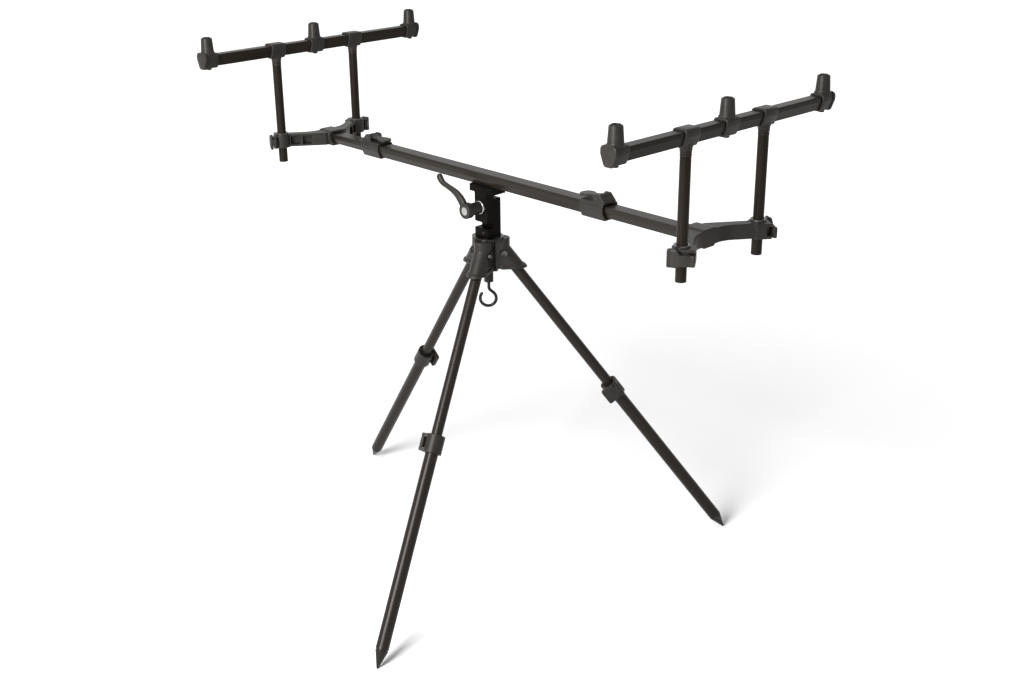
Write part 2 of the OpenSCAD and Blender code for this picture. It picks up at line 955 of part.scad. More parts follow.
module head(e) {
    color(nylon_black)
        at_head(e)
            difference() {
                union() {
                    along_x(-head_mouth, -head_face)
                        bar_section(inner_off - head_wall);
                    for (side = [0, 1])
                        mirror([0, side, 0]) {
                            translate([0, 0, arm_end])
                                linear_extrude(arm_h)
                                    arm_plan();
                            translate([0, stem_gap / 2, 0])
                                rod(ring_r, ring_foot, ring_top);
                            stem_lug();
                        }
                }
                along_x(-head_mouth - past, socket_depth - head_mouth)
                    bar_section(inner_off - seat_gap);
                for (side = [0, 1])
                    mirror([0, side, 0]) {
                        arm_pockets();
                        translate([0, stem_gap / 2, 0])
                            rod(bush_d / 2 + seat_gap, ring_foot - past, ring_top + past);
                    }
                translate([-head_face - groove, -2 * groove, arm_end - past])
                    cube([2 * groove, groove, arm_h]);
            }
}

module stem_bushes(e) {
    color(nylon_black)
        for (side = [0, 1])
            at_stem(e, side)
                difference() {
                    union() {
                        rod(bush_d / 2, ring_foot, ring_top);
                        rod(bush_lip_r, ring_top, ring_top + bush_lip_h);
                    }
                    rod(stem_r + running_gap, ring_foot - past, ring_top + bush_lip_h + past);
                }
}

module stem_lever(e, side) {
    face = lug_out + lever_gap;
    mid = (ring_top + ring_foot) / 2;
    tongue_h = hinge_h - 2 * lever_gap;
    plate_w = lug_x + hinge_x + hinge_r;
    color(nylon_black)
        at_stem(e, side)
            rotate([0, 0, -arm_sweep]) {
                translate([lug_x - plate_w / 2, 0, mid])
                    along_y(face, face + stem_lever_t)
                        rounded_plate(plate_w, stem_lever_h, 2.5);
                translate([-hinge_x, hinge_y, mid - tongue_h / 2])
                    linear_extrude(tongue_h) {
                        circle(r = hinge_r);
                        translate([-hinge_r, 0])
                            square([2 * hinge_r, face + past - hinge_y]);
                    }
                translate([-hinge_x, hinge_y, 0])
                    rod(pin_r, ring_foot + 0.5, ring_top - 0.5);
            }
}

// Stems and the buzz bars on top of them
module stems(e) {
    top = stem_top_z;
    color(tube_black)
        for (side = [0, 1])
            at_stem(e, side)
                difference() {
                    rod(stem_r, -stem_drop, top);
                    rod(stem_r - stem_wall, stem_plug - stem_drop, top + past);
                    for (z = stem_band_z)
                        pipe(stem_r + past, stem_r - stem_band_depth, top - z - stem_band, top - z);
                }
}

module tee_clamps(e) {
    color(nylon_black)
        for (side = [0, 1])
            at_stem(e, side)
                difference() {
                    union() {
                        translate([0, 0, buzz_top_z])
                            along_y(-tee_len / 2, tee_len / 2)
                                buzz_section(-tee_t);
                        rod(tee_collar_r, stem_top_z, buzz_top_z - buzz_h);
                        rod(stem_r - stem_wall - seat_gap, stem_top_z - tee_spigot, stem_top_z);
                    }
                    translate([0, 0, buzz_top_z])
                        along_y(-tee_len, tee_len)
                            buzz_section(-seat_gap);
                }
}

module buzz_tube(e) {
    half = socket_gap + socket_len / 2 - socket_end_wall;
    color(tube_black)
        at_buzz(e)
            difference() {
                along_y(-half, half)
                    buzz_section(0);
                along_y(-half - past, half + past)
                    buzz_section(buzz_wall);
            }
}

module rod_socket() {
    difference() {
        union() {
            along_y(-socket_len / 2, socket_len / 2)
                buzz_section(-socket_t);
            cylinder(d1 = nozzle_base_d, d2 = nozzle_top_d, h = nozzle_h);
            rod(foot_r, -buzz_h - socket_t - foot_h, -buzz_h);
            children();
        }
        rod(insert_r + seat_gap, insert_floor, nozzle_h + past);
    }
}

module rod_sockets(e) {
    tube_end = socket_gap + socket_len / 2 - socket_end_wall;
    color(nylon_black)
        at_buzz(e)
            difference() {
                union() {
                    rod_socket();
                    for (side = [0, 1])
                        mirror([0, side, 0])
                            translate([0, socket_gap, 0])
                                rod_socket()
                                    along_y(socket_len / 2 - socket_cap_t, socket_len / 2)
                                        buzz_section(-socket_t - socket_cap_off);
                }
                along_y(-tube_end, tube_end)
                    buzz_section(-seat_gap);
            }
}

module thread_inserts(e) {
    color(dark_steel)
        at_buzz(e)
            for (y = [-socket_gap, 0, socket_gap])
                translate([0, y, 0])
                    pipe(insert_r, thread_d / 2, insert_floor, nozzle_h + insert_lip);
}

// Pieces of one leg
module leg_plug(i) {
    color(nylon_black)
        at_leg(i)
            difference() {
                union() {
                    cross_rod(upper_leg_r, -upper_leg_r, upper_leg_r);
                    rod(upper_leg_r, -plug_neck, 0);
                    rod(upper_leg_r - leg_wall - seat_gap, -plug_neck - plug_spigot, 0);
                }
                cross_rod(pivot_bolt_d / 2 + running_gap, -upper_leg_d, upper_leg_d);
            }
}

module upper_leg(i) {
    color(tube_black)
        at_leg(i)
            pipe(upper_leg_r, upper_leg_r - leg_wall, -lower_leg_top - leg_overlap, -plug_neck);
}

module lower_leg(i) {
    color(tube_black)
        at_leg(i)
            pipe(lower_leg_r, lower_leg_bore_r, -lower_leg_end, -lower_leg_top);
}

module leg_hinge_post(r, from, to) {
    translate([leg_hinge_x, -leg_hinge_y, 0])
        rod(r, from, to);
}

module leg_collar(i) {
    top = collar_len / 2;
    ear = leg_lever_tongue_h / 2 + lever_gap;
    color(nylon_black)
        at_leg_collar(i)
            difference() {
                union() {
                    translate([0, 0, -top])
                        linear_extrude(collar_len)
                            intersection() {
                                circle(r = collar_r);
                                translate([-collar_r, -collar_flat])
                                    square(2 * collar_r);
                            }
                    for (from = [-leg_lever_h / 2, ear]) {
                        leg_hinge_post(leg_hinge_r, from, from + leg_lever_h / 2 - ear);
                        translate([leg_hinge_x - leg_hinge_r, -leg_hinge_y, from])
                            cube([2 * leg_hinge_r, leg_hinge_y, leg_lever_h / 2 - ear]);
                    }
                }
                rod(upper_leg_r + 2 * collar_lip, top - collar_lip, top + past);
                rod(upper_leg_r + slide_gap, 0, top);
                rod(lower_leg_r + seat_gap, -top - past, top - 2 * collar_lip);
                leg_hinge_post(pin_r + running_gap, -collar_len, collar_len);
            }
}

module leg_lever(i) {
    out = leg_lever_in + leg_lever_t;
    plate_end = leg_hinge_x - leg_hinge_r - lever_gap;
    tongue = leg_lever_tongue_h;
    color(nylon_black)
        at_leg_collar(i) {
            translate([plate_end - leg_lever_len / 2, 0, 0])
                along_y(-out, -leg_lever_in)
                    rounded_plate(leg_lever_len, leg_lever_h, 3);
            translate([plate_end - past, -out, -tongue / 2])
                cube([leg_hinge_x - plate_end + past, out - leg_hinge_y, tongue]);
            leg_hinge_post(leg_hinge_r, -tongue / 2, tongue / 2);
            leg_hinge_post(pin_r, 0.5 - leg_lever_h / 2, leg_lever_h / 2 - 0.5);
        }
}

module leg_spike(i) {
    color(dark_steel)
        at_leg(i) {
            translate([0, 0, -leg_reach]) {
                sphere(r = spike_tip_r);
                cylinder(r1 = spike_tip_r, r2 = lower_leg_r, h = spike_len);
            }
            rod(lower_leg_bore_r - seat_gap, -lower_leg_end, spike_plug - lower_leg_end);
        }
}

hub();
leg_pivot_bolts();
leg_pivot_nuts();
hook_plug();
weight_hook();
mast_block();
swivel_washer();
mast_bolt();
mast_lock_nut();
mast_set_screw();
tilt_bolt();
tilt_lever();
tilt_lever_screw();
tilt_washer();
bar_bracket();
bracket_screws();
main_tube();
bar_lever_pins();
for (i = [0:2]) {
    leg_plug(i);
    upper_leg(i);
    lower_leg(i);
    leg_collar(i);
    leg_lever(i);
    leg_spike(i);
}
for (e = [0, 1]) {
    bar_collar(e);
    bar_lever(e);
    inner_bar(e);
    head(e);
    stem_bushes(e);
    stems(e);
    tee_clamps(e);
    buzz_tube(e);
    rod_sockets(e);
    thread_inserts(e);
    for (side = [0, 1])
        stem_lever(e, side);
}
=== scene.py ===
import json
import math

import bmesh
import bpy
import numpy as np
from mathutils import Matrix, Vector


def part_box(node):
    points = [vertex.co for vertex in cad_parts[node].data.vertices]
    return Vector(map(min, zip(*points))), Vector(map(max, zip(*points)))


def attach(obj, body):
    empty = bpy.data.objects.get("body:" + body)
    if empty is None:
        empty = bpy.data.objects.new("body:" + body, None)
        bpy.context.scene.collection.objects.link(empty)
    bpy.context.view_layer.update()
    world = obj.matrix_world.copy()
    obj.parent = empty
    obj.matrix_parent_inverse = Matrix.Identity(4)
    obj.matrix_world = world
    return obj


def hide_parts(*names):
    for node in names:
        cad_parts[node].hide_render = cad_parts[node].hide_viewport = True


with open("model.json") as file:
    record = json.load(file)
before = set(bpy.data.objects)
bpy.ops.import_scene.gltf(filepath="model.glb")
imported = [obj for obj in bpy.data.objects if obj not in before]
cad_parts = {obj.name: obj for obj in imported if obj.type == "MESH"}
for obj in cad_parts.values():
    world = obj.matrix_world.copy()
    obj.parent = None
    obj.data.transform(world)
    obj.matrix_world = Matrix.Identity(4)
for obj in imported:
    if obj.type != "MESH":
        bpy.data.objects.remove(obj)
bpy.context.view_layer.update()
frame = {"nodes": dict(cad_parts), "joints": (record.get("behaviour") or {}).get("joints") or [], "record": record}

bl_info = {
    "name": "Tripod rod pod",
    "version": (1, 0, 0),
    "blender": (4, 5, 0),
    "location": "View3D > Sidebar > Rod pod",
    "description": "Finishes the pieces of a folding tripod rod pod and sets up its studio",
    "category": "Object",
}

NODES = frame["nodes"]
JOINTS = {joint["name"]: joint for joint in frame["joints"]}
LEGS = ("front", "right", "back")
ENDS = ("near", "far")
SIDES = ("left", "right")

# Sizes taken over from the CAD, in millimetres
MM = 0.001
INSERT_RADIUS = 6.06
STEM_WIDTH = 14
LEG_REACH = 602.0
LEG_RADIUS = 9.5

# Places of the assembly in metres, read from the frame
HUB_AXIS = (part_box("mast_bolt")[0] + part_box("mast_bolt")[1]) / 2
BAR_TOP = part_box("main_tube")[1].z
SOCKET_GAP = (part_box("thread_inserts_near")[1].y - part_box("thread_inserts_near")[0].y) / 2 - INSERT_RADIUS * MM
STEM_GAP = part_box("stems_near")[1].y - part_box("stems_near")[0].y - STEM_WIDTH * MM


# Shader node helpers

# The part of its range that a noise mostly keeps to
NOISE_LOW, NOISE_HIGH = 0.3, 0.7
# Where an edge starts to count as sharp and where it is fully so, and the same for the noise that breaks up its wear
SHARP_EDGES = (0.52, 0.60)
WORN_PATCHES = (0.42, 0.66)
# Share of the way along a tube that is taken out of the noise, which draws it out into lines
LINE_STRETCH = 0.985
# Sockets of the Mix node for each kind of value: factor, first, second, and the result
MIX_SOCKETS = {"FLOAT": (0, 2, 3, 0), "RGBA": (0, 6, 7, 2)}
BARE_METAL = (0.16, 0.155, 0.15)


def new_tree(name):
    """An empty material with its output and Principled shader."""
    material = bpy.data.materials.new(name)
    material.use_nodes = True
    tree = material.node_tree
    tree.nodes.clear()
    output = tree.nodes.new("ShaderNodeOutputMaterial")
    shader = tree.nodes.new("ShaderNodeBsdfPrincipled")
    tree.links.new(shader.outputs["BSDF"], output.inputs["Surface"])
    return material, tree, shader


def feed(tree, socket, value):
    """Links an input to another node's output, or sets it to a plain value."""
    if isinstance(value, bpy.types.NodeSocket):
        tree.links.new(value, socket)
    else:
        socket.default_value = value


def fill(tree, node, **inputs):
    """Feeds a node's inputs by name, with an underscore for each space."""
    for key, value in inputs.items():
        feed(tree, node.inputs[key.replace("_", " ")], value)
    return node


def add_node(tree, kind, settings=None, **inputs):
    """A node with its settings and inputs."""
    node = tree.nodes.new(kind)
    for key, value in (settings or {}).items():
        setattr(node, key, value)
    return fill(tree, node, **inputs)


def math_node(tree, operation, a, b=0.0, clamp=False):
    """One sum of two values."""
    node = add_node(tree, "ShaderNodeMath", {"operation": operation, "use_clamp": clamp})
    for socket, value in zip(node.inputs, (a, b)):
        feed(tree, socket, value)
    return node.outputs[0]


def vector_node(tree, operation, *vectors, **inputs):
    """One sum of vectors."""
    node = add_node(tree, "ShaderNodeVectorMath", {"operation": operation}, **inputs)
    for socket, value in zip(node.inputs, vectors):
        feed(tree, socket, value)
    return node


def ramp(tree, value, low, high, to_low=0.0, to_high=1.0):
    """A value carried from one range to another, held at the ends."""
    node = add_node(tree, "ShaderNodeMapRange", {"clamp": True}, Value=value,
                    From_Min=low, From_Max=high, To_Min=to_low, To_Max=to_high)
    return node.outputs["Result"]


def spread(tree, noise, low=0.0, high=1.0):
    """A noise carried from its usual range to another."""
    return ramp(tree, noise, NOISE_LOW, NOISE_HIGH, low, high)


def mix(tree, kind, factor, first, second):
    """A value or a colour between two, by a factor."""
    node = add_node(tree, "ShaderNodeMix", {"data_type": kind})
    *places, result = MIX_SOCKETS[kind]
    for place, value in zip(places, (factor, first, second)):
        feed(tree, node.inputs[place], value)
    return node.outputs[result]


def scaled(colour, share=1.0):
    """A colour made darker or lighter, as the four numbers of a colour socket."""
    return (*(share * part for part in colour), 1.0)


def two_tone(tree, factor, colour, low, high):
    """A colour that goes from a darker to a lighter share of itself."""
    return mix(tree, "RGBA", factor, scaled(colour, low), scaled(colour, high))


def emboss(tree, shader, height, strength, depth):
    """Fine relief from a height, its depth in metres."""
    bump = add_node(tree, "ShaderNodeBump", Strength=strength, Distance=depth, Height=height)
    tree.links.new(bump.outputs["Normal"], shader.inputs["Normal"])


def group_tree(name, inputs, outputs):
    """An empty shader node group with named inputs and value outputs."""
    tree = bpy.data.node_groups.new(name, "ShaderNodeTree")
    for label, kind, default in inputs:
        socket = tree.interface.new_socket(label, in_out="INPUT", socket_type=kind)
        socket.default_value = default
    for label in outputs:
        tree.interface.new_socket(label, in_out="OUTPUT", socket_type="NodeSocketFloat")
    start = tree.nodes.new("NodeGroupInput")
    end = tree.nodes.new("NodeGroupOutput")
    where = tree.nodes.new("ShaderNodeTexCoord").outputs["Object"]
    return tree, start, end, where


def edge_wear_group():
    """Mask of rubbed edges: the surface's pointiness, broken up by noise so that the rub comes and goes."""
    tree, start, end, where = group_tree(
        "edge_wear",
        [("Amount", "NodeSocketFloat", 0.5), ("Patch size", "NodeSocketFloat", 60.0)],
        ["Mask"],
    )
    geometry = tree.nodes.new("ShaderNodeNewGeometry")
    patches = add_node(tree, "ShaderNodeTexNoise", Vector=where, Scale=start.outputs["Patch size"], Detail=4.0)
    sharp = ramp(tree, geometry.outputs["Pointiness"], *SHARP_EDGES)
    broken = ramp(tree, patches.outputs["Fac"], *WORN_PATCHES)
    mask = math_node(tree, "MULTIPLY", sharp, broken)
    fill(tree, end, Mask=math_node(tree, "MULTIPLY", mask, start.outputs["Amount"], True))
    return tree


def grain_group():
    """Moulded grain: fine cells for height, and slow clouds for shade."""
    tree, start, end, where = group_tree(
        "moulded_grain",
        [("Cells", "NodeSocketFloat", 1400.0), ("Clouds", "NodeSocketFloat", 35.0)],
        ["Height", "Shade"],
    )
    cells = add_node(tree, "ShaderNodeTexVoronoi", {"feature": "SMOOTH_F1"}, Vector=where,
                     Scale=start.outputs["Cells"], Smoothness=0.6)
    clouds = add_node(tree, "ShaderNodeTexNoise", Vector=where, Scale=start.outputs["Clouds"], Detail=5.0)
    fill(tree, end, Height=cells.outputs["Distance"], Shade=clouds.outputs["Fac"])
    return tree


def drawn_group():
    """Drawn tube surface: fine lines that follow the tube, a speckle from the dye bath, and slow handling marks."""
    tree, start, end, where = group_tree(
        "drawn_tube",
        [("Along", "NodeSocketVector", (1.0, 0.0, 0.0)), ("Lines", "NodeSocketFloat", 900.0)],
        ["Lines", "Speckle", "Marks"],
    )
    along = start.outputs["Along"]
    reach = vector_node(tree, "DOT_PRODUCT", where, along).outputs["Value"]
    back = vector_node(tree, "SCALE", along, Scale=math_node(tree, "MULTIPLY", reach, LINE_STRETCH))
    squeezed = vector_node(tree, "SUBTRACT", where, back.outputs["Vector"])
    lines = add_node(tree, "ShaderNodeTexNoise", Vector=squeezed.outputs["Vector"], Scale=start.outputs["Lines"],
                     Detail=3.0)
    speckle = add_node(tree, "ShaderNodeTexNoise", Vector=where, Scale=2200.0, Detail=2.0)
    marks = add_node(tree, "ShaderNodeTexNoise", Vector=where, Scale=18.0, Detail=6.0, Roughness=0.65)
    fill(tree, end, Lines=lines.outputs["Fac"], Speckle=speckle.outputs["Fac"], Marks=marks.outputs["Fac"])
    return tree


GROUP_MAKERS = {"edge_wear": edge_wear_group, "moulded_grain": grain_group, "drawn_tube": drawn_group}
GROUPS = {}


def place_group(tree, name, **values):
    """One use of a shared shader group with its own values. The group is built on its first use."""
    if name not in GROUPS:
        GROUPS[name] = GROUP_MAKERS[name]()
    return add_node(tree, "ShaderNodeGroup", {"node_tree": GROUPS[name]}, **values)


# Materials

def anodised_tube(name, along, finish, sheen, gloss=0.155):
    """Black anodised aluminium, satin, with fine draw lines along the tube and a faint speckle."""
    material, tree, shader = new_tree(name)
    drawn = place_group(tree, "drawn_tube", Along=along)
    lines, speckle, marks = (drawn.outputs[key] for key in ("Lines", "Speckle", "Marks"))
    rough = finish.tube_roughness
    fill(tree, shader,
         Base_Color=two_tone(tree, spread(tree, marks), finish.tube_colour, low=0.94, high=1.06),
         Roughness=math_node(tree, "ADD", spread(tree, lines, low=-0.03, high=0.03),
                             spread(tree, marks, low=rough - 0.015, high=rough + 0.015)),
         Metallic=finish.tube_metallic, Specular_IOR_Level=gloss, Specular_Tint=scaled(sheen))
    height = math_node(tree, "ADD", math_node(tree, "MULTIPLY", lines, 0.6),
                       math_node(tree, "MULTIPLY", speckle, 0.4))
    emboss(tree, shader, height, strength=0.12, depth=0.00005)
    return material


def moulded_nylon(name, colour, finish, cells=1400.0, gloss=0.15):
    """Black glass-filled nylon with a fine moulded grain and paler rubbed edges."""
    material, tree, shader = new_tree(name)
    grain = place_group(tree, "moulded_grain", Cells=cells, Clouds=110.0)
    wear = place_group(tree, "edge_wear", Amount=finish.edge_wear)
    clouds, rough = grain.outputs["Shade"], finish.nylon_roughness
    tone = two_tone(tree, spread(tree, clouds), colour, low=0.84, high=1.16)
    fill(tree, shader,
         Base_Color=mix(tree, "RGBA", wear.outputs["Mask"], tone, scaled(colour, share=1.7)),
         Roughness=spread(tree, clouds, low=rough - 0.02, high=rough + 0.03),
         Specular_IOR_Level=gloss, Specular_Tint=scaled(finish.nylon_sheen))
    emboss(tree, shader, grain.outputs["Height"], strength=0.35, depth=0.00012)
    return material


def coated_steel(name, colour, finish, rough=0.32, gloss=0.2):
    """Black coated steel, smoother than the tubes, with bare metal on its edges."""
    material, tree, shader = new_tree(name)
    grain = place_group(tree, "moulded_grain", Cells=2600.0, Clouds=60.0)
    wear = place_group(tree, "edge_wear", Amount=1.4 * finish.edge_wear, Patch_size=140.0)
    clouds = grain.outputs["Shade"]
    tone = two_tone(tree, spread(tree, clouds), colour, low=0.92, high=1.08)
    fill(tree, shader,
         Base_Color=mix(tree, "RGBA", wear.outputs["Mask"], tone, scaled(BARE_METAL)),
         Roughness=spread(tree, clouds, low=rough - 0.02, high=rough + 0.03),
         Metallic=0.1, Specular_IOR_Level=gloss)
    emboss(tree, shader, grain.outputs["Height"], strength=0.2, depth=0.00006)
    return material


def plain_steel(name, colour, low=0.22, high=0.4):
    """Plated steel with a fine turned grain and a few dull patches. Its roughness goes from low to high."""
    material, tree, shader = new_tree(name)
    drawn = place_group(tree, "drawn_tube", Along=(0.0, 1.0, 0.0), Lines=1500.0)
    lines, marks = drawn.outputs["Lines"], drawn.outputs["Marks"]
    fill(tree, shader,
         Base_Color=two_tone(tree, spread(tree, marks), colour, low=0.8, high=1.0),
         Roughness=spread(tree, lines, low, high), Metallic=1.0)
    emboss(tree, shader, lines, strength=0.2, depth=0.00005)
    return material


def dress(item, material):
    """Gives a piece one material."""
    item.data.materials.clear()
    item.data.materials.append(material)


def soften(item, grid, passes):
    """Rounds a piece's hard edges as a mould does: a fine even grid is laid over it, then smoothed a few times."""
    cover = item.modifiers.new("grid", "REMESH")
    cover.mode = "VOXEL"
    cover.voxel_size = grid
    cover.use_smooth_shade = True
    smooth = item.modifiers.new("smooth", "SMOOTH")
    smooth.factor = 0.5
    smooth.iterations = passes


# Surfaces worked out on grids of points, in millimetres until they are placed

def unit(rows):
    """Rows of vectors, each made one long."""
    return rows / np.linalg.norm(rows, axis=1, keepdims=True)


def corner_arcs(corners, before, after, radii, inset, steps):
    """Points that round off corners between the points before and after them: each corner slides along its
    bisector by the inset, and an arc swings between the two points where its rounding touches the sides."""
    before, after = unit(before - corners), unit(after - corners)
    half = np.arccos(np.clip((before * after).sum(axis=1), -0.9999, 0.9999)) / 2
    bisector = unit(before + after)
    moved = corners + bisector * (inset / np.sin(half))[:, None]
    centre = moved + bisector * (radii / np.sin(half))[:, None]
    reach = (radii / np.tan(half))[:, None]
    first = (moved + before * reach - centre)[:, None]
    last = (moved + after * reach - centre)[:, None]
    turn = (np.pi - 2 * half)[:, None, None]
    share = np.linspace(0.0, 1.0, steps + 1)[None, :, None]
    arcs = (np.sin((1 - share) * turn) * first + np.sin(share * turn) * last) / np.sin(turn)
    return (centre[:, None] + arcs).reshape(-1, 2)


def rounded_outline(corners, radii, inset=0.0, steps=6, least=0.2):
    """Convex closed outline drawn in by a distance, with each corner rounded by what is left of its radius."""
    corners = np.asarray(corners, float)
    radii = np.maximum(np.asarray(radii, float) - inset, least)
    return corner_arcs(corners, np.roll(corners, 1, axis=0), np.roll(corners, -1, axis=0), radii, inset, steps)


def filleted_path(points, radii, steps=5):
    """Open path whose inner corners are rounded."""
    points = np.asarray(points, float)
    arcs = corner_arcs(points[1:-1], points[:-2], points[2:], np.asarray(radii, float), 0.0, steps)
    return np.concatenate([points[:1], arcs, points[-1:]])


def shield(width, height, foot, side, edge):
    """Outline of a bar with a flat top, upright sides and a tapered foot, as a function of its inset."""
    half, toe = width / 2, foot / 2
    corners = [(half, 0), (-half, 0), (-half, -side), (-toe, -height), (toe, -height), (half, -side)]
    radii = [edge, edge, 2.0, 1.2, 1.2, 2.0]
    return lambda inset: rounded_outline(corners, radii, inset)


def carried(rings, places, axis):
    """Rings of two coordinates set at places along one axis."""
    run = np.broadcast_to(np.asarray(places, float)[:, None], rings.shape[:2])
    first, second = rings[..., 0], rings[..., 1]
    order = {"x": (run, first, second), "y": (first, run, second), "z": (first, second, run)}
    return np.stack(order[axis], axis=-1)


def sleeve(outline, half_length, edge, bore, steps=5):
    """Skin of a sleeve along y: rings of the outline, drawn in by a quarter circle at both ends. The skin turns in
    at the far end and runs back along the bore, and is closed on itself."""
    swing = np.linspace(0.0, np.pi / 2, steps + 1)
    inset = edge * (1 - np.sin(swing))
    along = edge * (1 - np.cos(swing)) - half_length
    places = np.concatenate([along, -along[::-1], [half_length, -half_length]])
    rings = [outline(value) for value in np.concatenate([inset, inset[::-1]])] + [bore, bore]
    return carried(np.stack(rings), places, "y"), True


def smooth_step(value, low, high):
    """Zero below a range, one above it, and an S-curve between."""
    share = np.clip((value - low) / (high - low), 0.0, 1.0)
    return share * share * (3 - 2 * share)


def lathe(profile, around=48):
    """Profile of radius and height turned about the upright axis."""
    turn = np.linspace(0.0, 2 * np.pi, around, endpoint=False)
    radius, height = profile[:, :1], profile[:, 1:]
    return np.stack([radius * np.cos(turn), radius * np.sin(turn),
                     np.broadcast_to(height, (len(profile), around))], axis=-1)


def laid(points):
    """Turned points laid over, so that their axis runs along y."""
    return points[..., [0, 2, 1]]


def rounded_rings(half_first, half_second, power, around=48):
    """Rings between an ellipse and a box: each coordinate is a power of the sine or cosine, times a half size."""
    turn = np.linspace(0.0, 2 * np.pi, around, endpoint=False)
    share = 2.0 / np.asarray(power, float)[:, None]
    first = np.sign(np.cos(turn)) * np.abs(np.cos(turn)) ** share * np.asarray(half_first, float)[:, None]
    second = np.sign(np.sin(turn)) * np.abs(np.sin(turn)) ** share * np.asarray(half_second, float)[:, None]
    return np.stack([first, second], axis=-1)


def skin(points, looped=False):
    """Faces over rows of closed rings. The end rows are capped, unless the rows run back to the first."""
    rows, around = points.shape[:2]
    index = np.arange(rows * around).reshape(rows, around)
    ahead = np.roll(index, -1, axis=1)
    upper = np.roll(index, -1, axis=0) if looped else index[1:]
    upper_ahead = np.roll(upper, -1, axis=1)
    count = len(upper)
    faces = np.stack([index[:count], ahead[:count], upper_ahead, upper], axis=-1).reshape(-1, 4).tolist()
    if not looped:
        faces += [index[0, ::-1].tolist(), index[-1].tolist()]
    return points.reshape(-1, 3), faces


# Angles in degrees over which an edge is shaded sharp, on mouldings and on turned steel
MOULDED_EDGE = 38.0
TURNED_EDGE = 25.0


def piece(name, skins, body, material, replaced, sharp=MOULDED_EDGE):
    """One object from several closed skins in metres, with outward faces, that rides on a body."""
    points = np.concatenate([one[0] for one in skins])
    starts = np.cumsum([0] + [len(one[0]) for one in skins[:-1]])
    faces = [[int(corner + start) for corner in face] for start, one in zip(starts, skins) for face in one[1]]
    mesh = bpy.data.meshes.new(name)
    mesh.from_pydata(points.tolist(), [], faces)
    work = bmesh.new()
    work.from_mesh(mesh)
    bmesh.ops.recalc_face_normals(work, faces=work.faces)
    work.to_mesh(mesh)
    work.free()
    mesh.shade_smooth()
    mesh.set_sharp_from_angle(angle=math.radians(sharp))
    item = bpy.data.objects.new(name, mesh)
    bpy.context.scene.collection.objects.link(item)
    dress(item, material)
    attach(item, body)
    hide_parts(*replaced)


def placed(points, origin, flip=(1, 1, 1)):
    """Points in millimetres set at an origin in metres, mirrored where asked."""
    return points * (np.asarray(flip) * MM) + np.asarray(origin)


# Shapes of the pieces, in millimetres

# Half outlines as radius and height: points, roundings of the inner corners, and steps in each rounding
OUTLINES = {
    # The tapered nozzle of a rod socket with its flared foot and its bore, and the stud below the socket
    "nozzle": ([(10.9, 1.0), (10.9, 3.6), (9.75, 4.6), (8.25, 25.0), (6.5, 25.0), (6.12, 24.4), (6.12, 4.0)],
               [0.4, 2.6, 1.2, 0.2, 0.2], 6),
    "stud": ([(4.0, -18.0), (4.0, -22.6), (2.0, -22.6)], [0.9], 5),
    # The round eye of a thumb lever, and the barrel of a strap lever
    "eye": ([(1.0, -7.6), (4.0, -7.6), (4.0, 7.6), (1.0, 7.6)], [0.8, 0.8], 5),
    "barrel": ([(1.0, -5.6), (3.2, -5.6), (3.2, 5.6), (1.0, 5.6)], [0.5, 0.5], 5),
    # The boss of the tilt lever, with a seat for its screw
    "boss": ([(6.1, -43.7), (6.1, -45.8), (11.5, -45.8), (11.5, -36.0), (9.0, -32.0), (9.0, -17.85), (4.2, -17.85)],
             [0.15, 1.6, 2.4, 2.4, 1.0], 5),
    # The swivel washer from its bore out and back: two stacked rings with a groove between them
    "swivel": ([(6.0, -2.95), (23.5, -2.95), (23.5, -1.75), (22.3, -1.6), (22.3, -1.3), (23.0, -1.15),
                (23.0, -0.05), (6.0, -0.05)],
               [0.4, 0.2, 0.05, 0.05, 0.15, 0.4], 4),
    # The washer behind the tilt lever, from its bore out and back, with rounded rims
    "spacer": ([(4.6, -17.75), (10.0, -17.75), (10.0, -13.8), (4.6, -13.8)], [1.1, 0.5], 5),
}
STEM_RING = np.array([(6.8, -0.8), (7.1, -0.8), (7.4, -0.4), (7.4, 0.4), (7.1, 0.8), (6.8, 0.8)])
STEM_RING_HEIGHTS = (-26.9, -30.1)
STRAP_PIN = np.array([(0.4, -8.0), (1.6, -8.0), (1.6, 8.0), (0.4, 8.0)])

# The cross bar's outline, and how far a sleeve's bore stands off it
BUZZ = shield(width=17.0, height=17.5, foot=8.0, side=6.0, edge=1.8)
BORE_PLAY = 0.05
SOCKET_WALL = 2.6
TEE_WALL = 2.8
THREAD_BOTTOM, THREAD_TOP = 3.0, 26.0

# The strap lever's hinge pin and inner face in the clamp's own frame, and the clamp's turn
STRAP_HINGE = (-13.5, 10.4, 0.0)
STRAP_FACE = 14.0
STRAP_SWEEP = math.radians(35.0)

THUMB_SLOPE = math.radians(-2.5)
TILT_ARM_OFFSET = 41.0


def turned(name, around=48):
    """A half outline from the table, its corners rounded, turned about the upright axis."""
    return lathe(filleted_path(*OUTLINES[name]), around)


def socket_skins(outward):
    """A rod socket: a sleeve round the cross bar, a tapered nozzle with a flared foot, a stud below,
    and on the outer ones a domed cap across the end, whose rings draw in along a quarter circle."""
    grown = lambda inset: BUZZ(inset - SOCKET_WALL)
    parts = [sleeve(grown, half_length=12.5, edge=1.3, bore=BUZZ(-BORE_PLAY)),
             (turned("nozzle"), False), (turned("stud"), False)]
    if outward:
        rim, bulge, overhang = 2.0, 1.7, 1.2
        swing = np.linspace(0.0, np.pi / 2, 7)
        inset = np.concatenate([[0.0], rim * (1 - np.cos(swing)), [4.0, 6.0, 8.0]]) - SOCKET_WALL - overhang
        place = np.concatenate([[8.4], 11.0 + bulge * np.sin(swing), [12.95, 13.1, 13.15]])
        parts.append((carried(np.stack([BUZZ(value) for value in inset]), outward * place, "y"), False))
    return parts


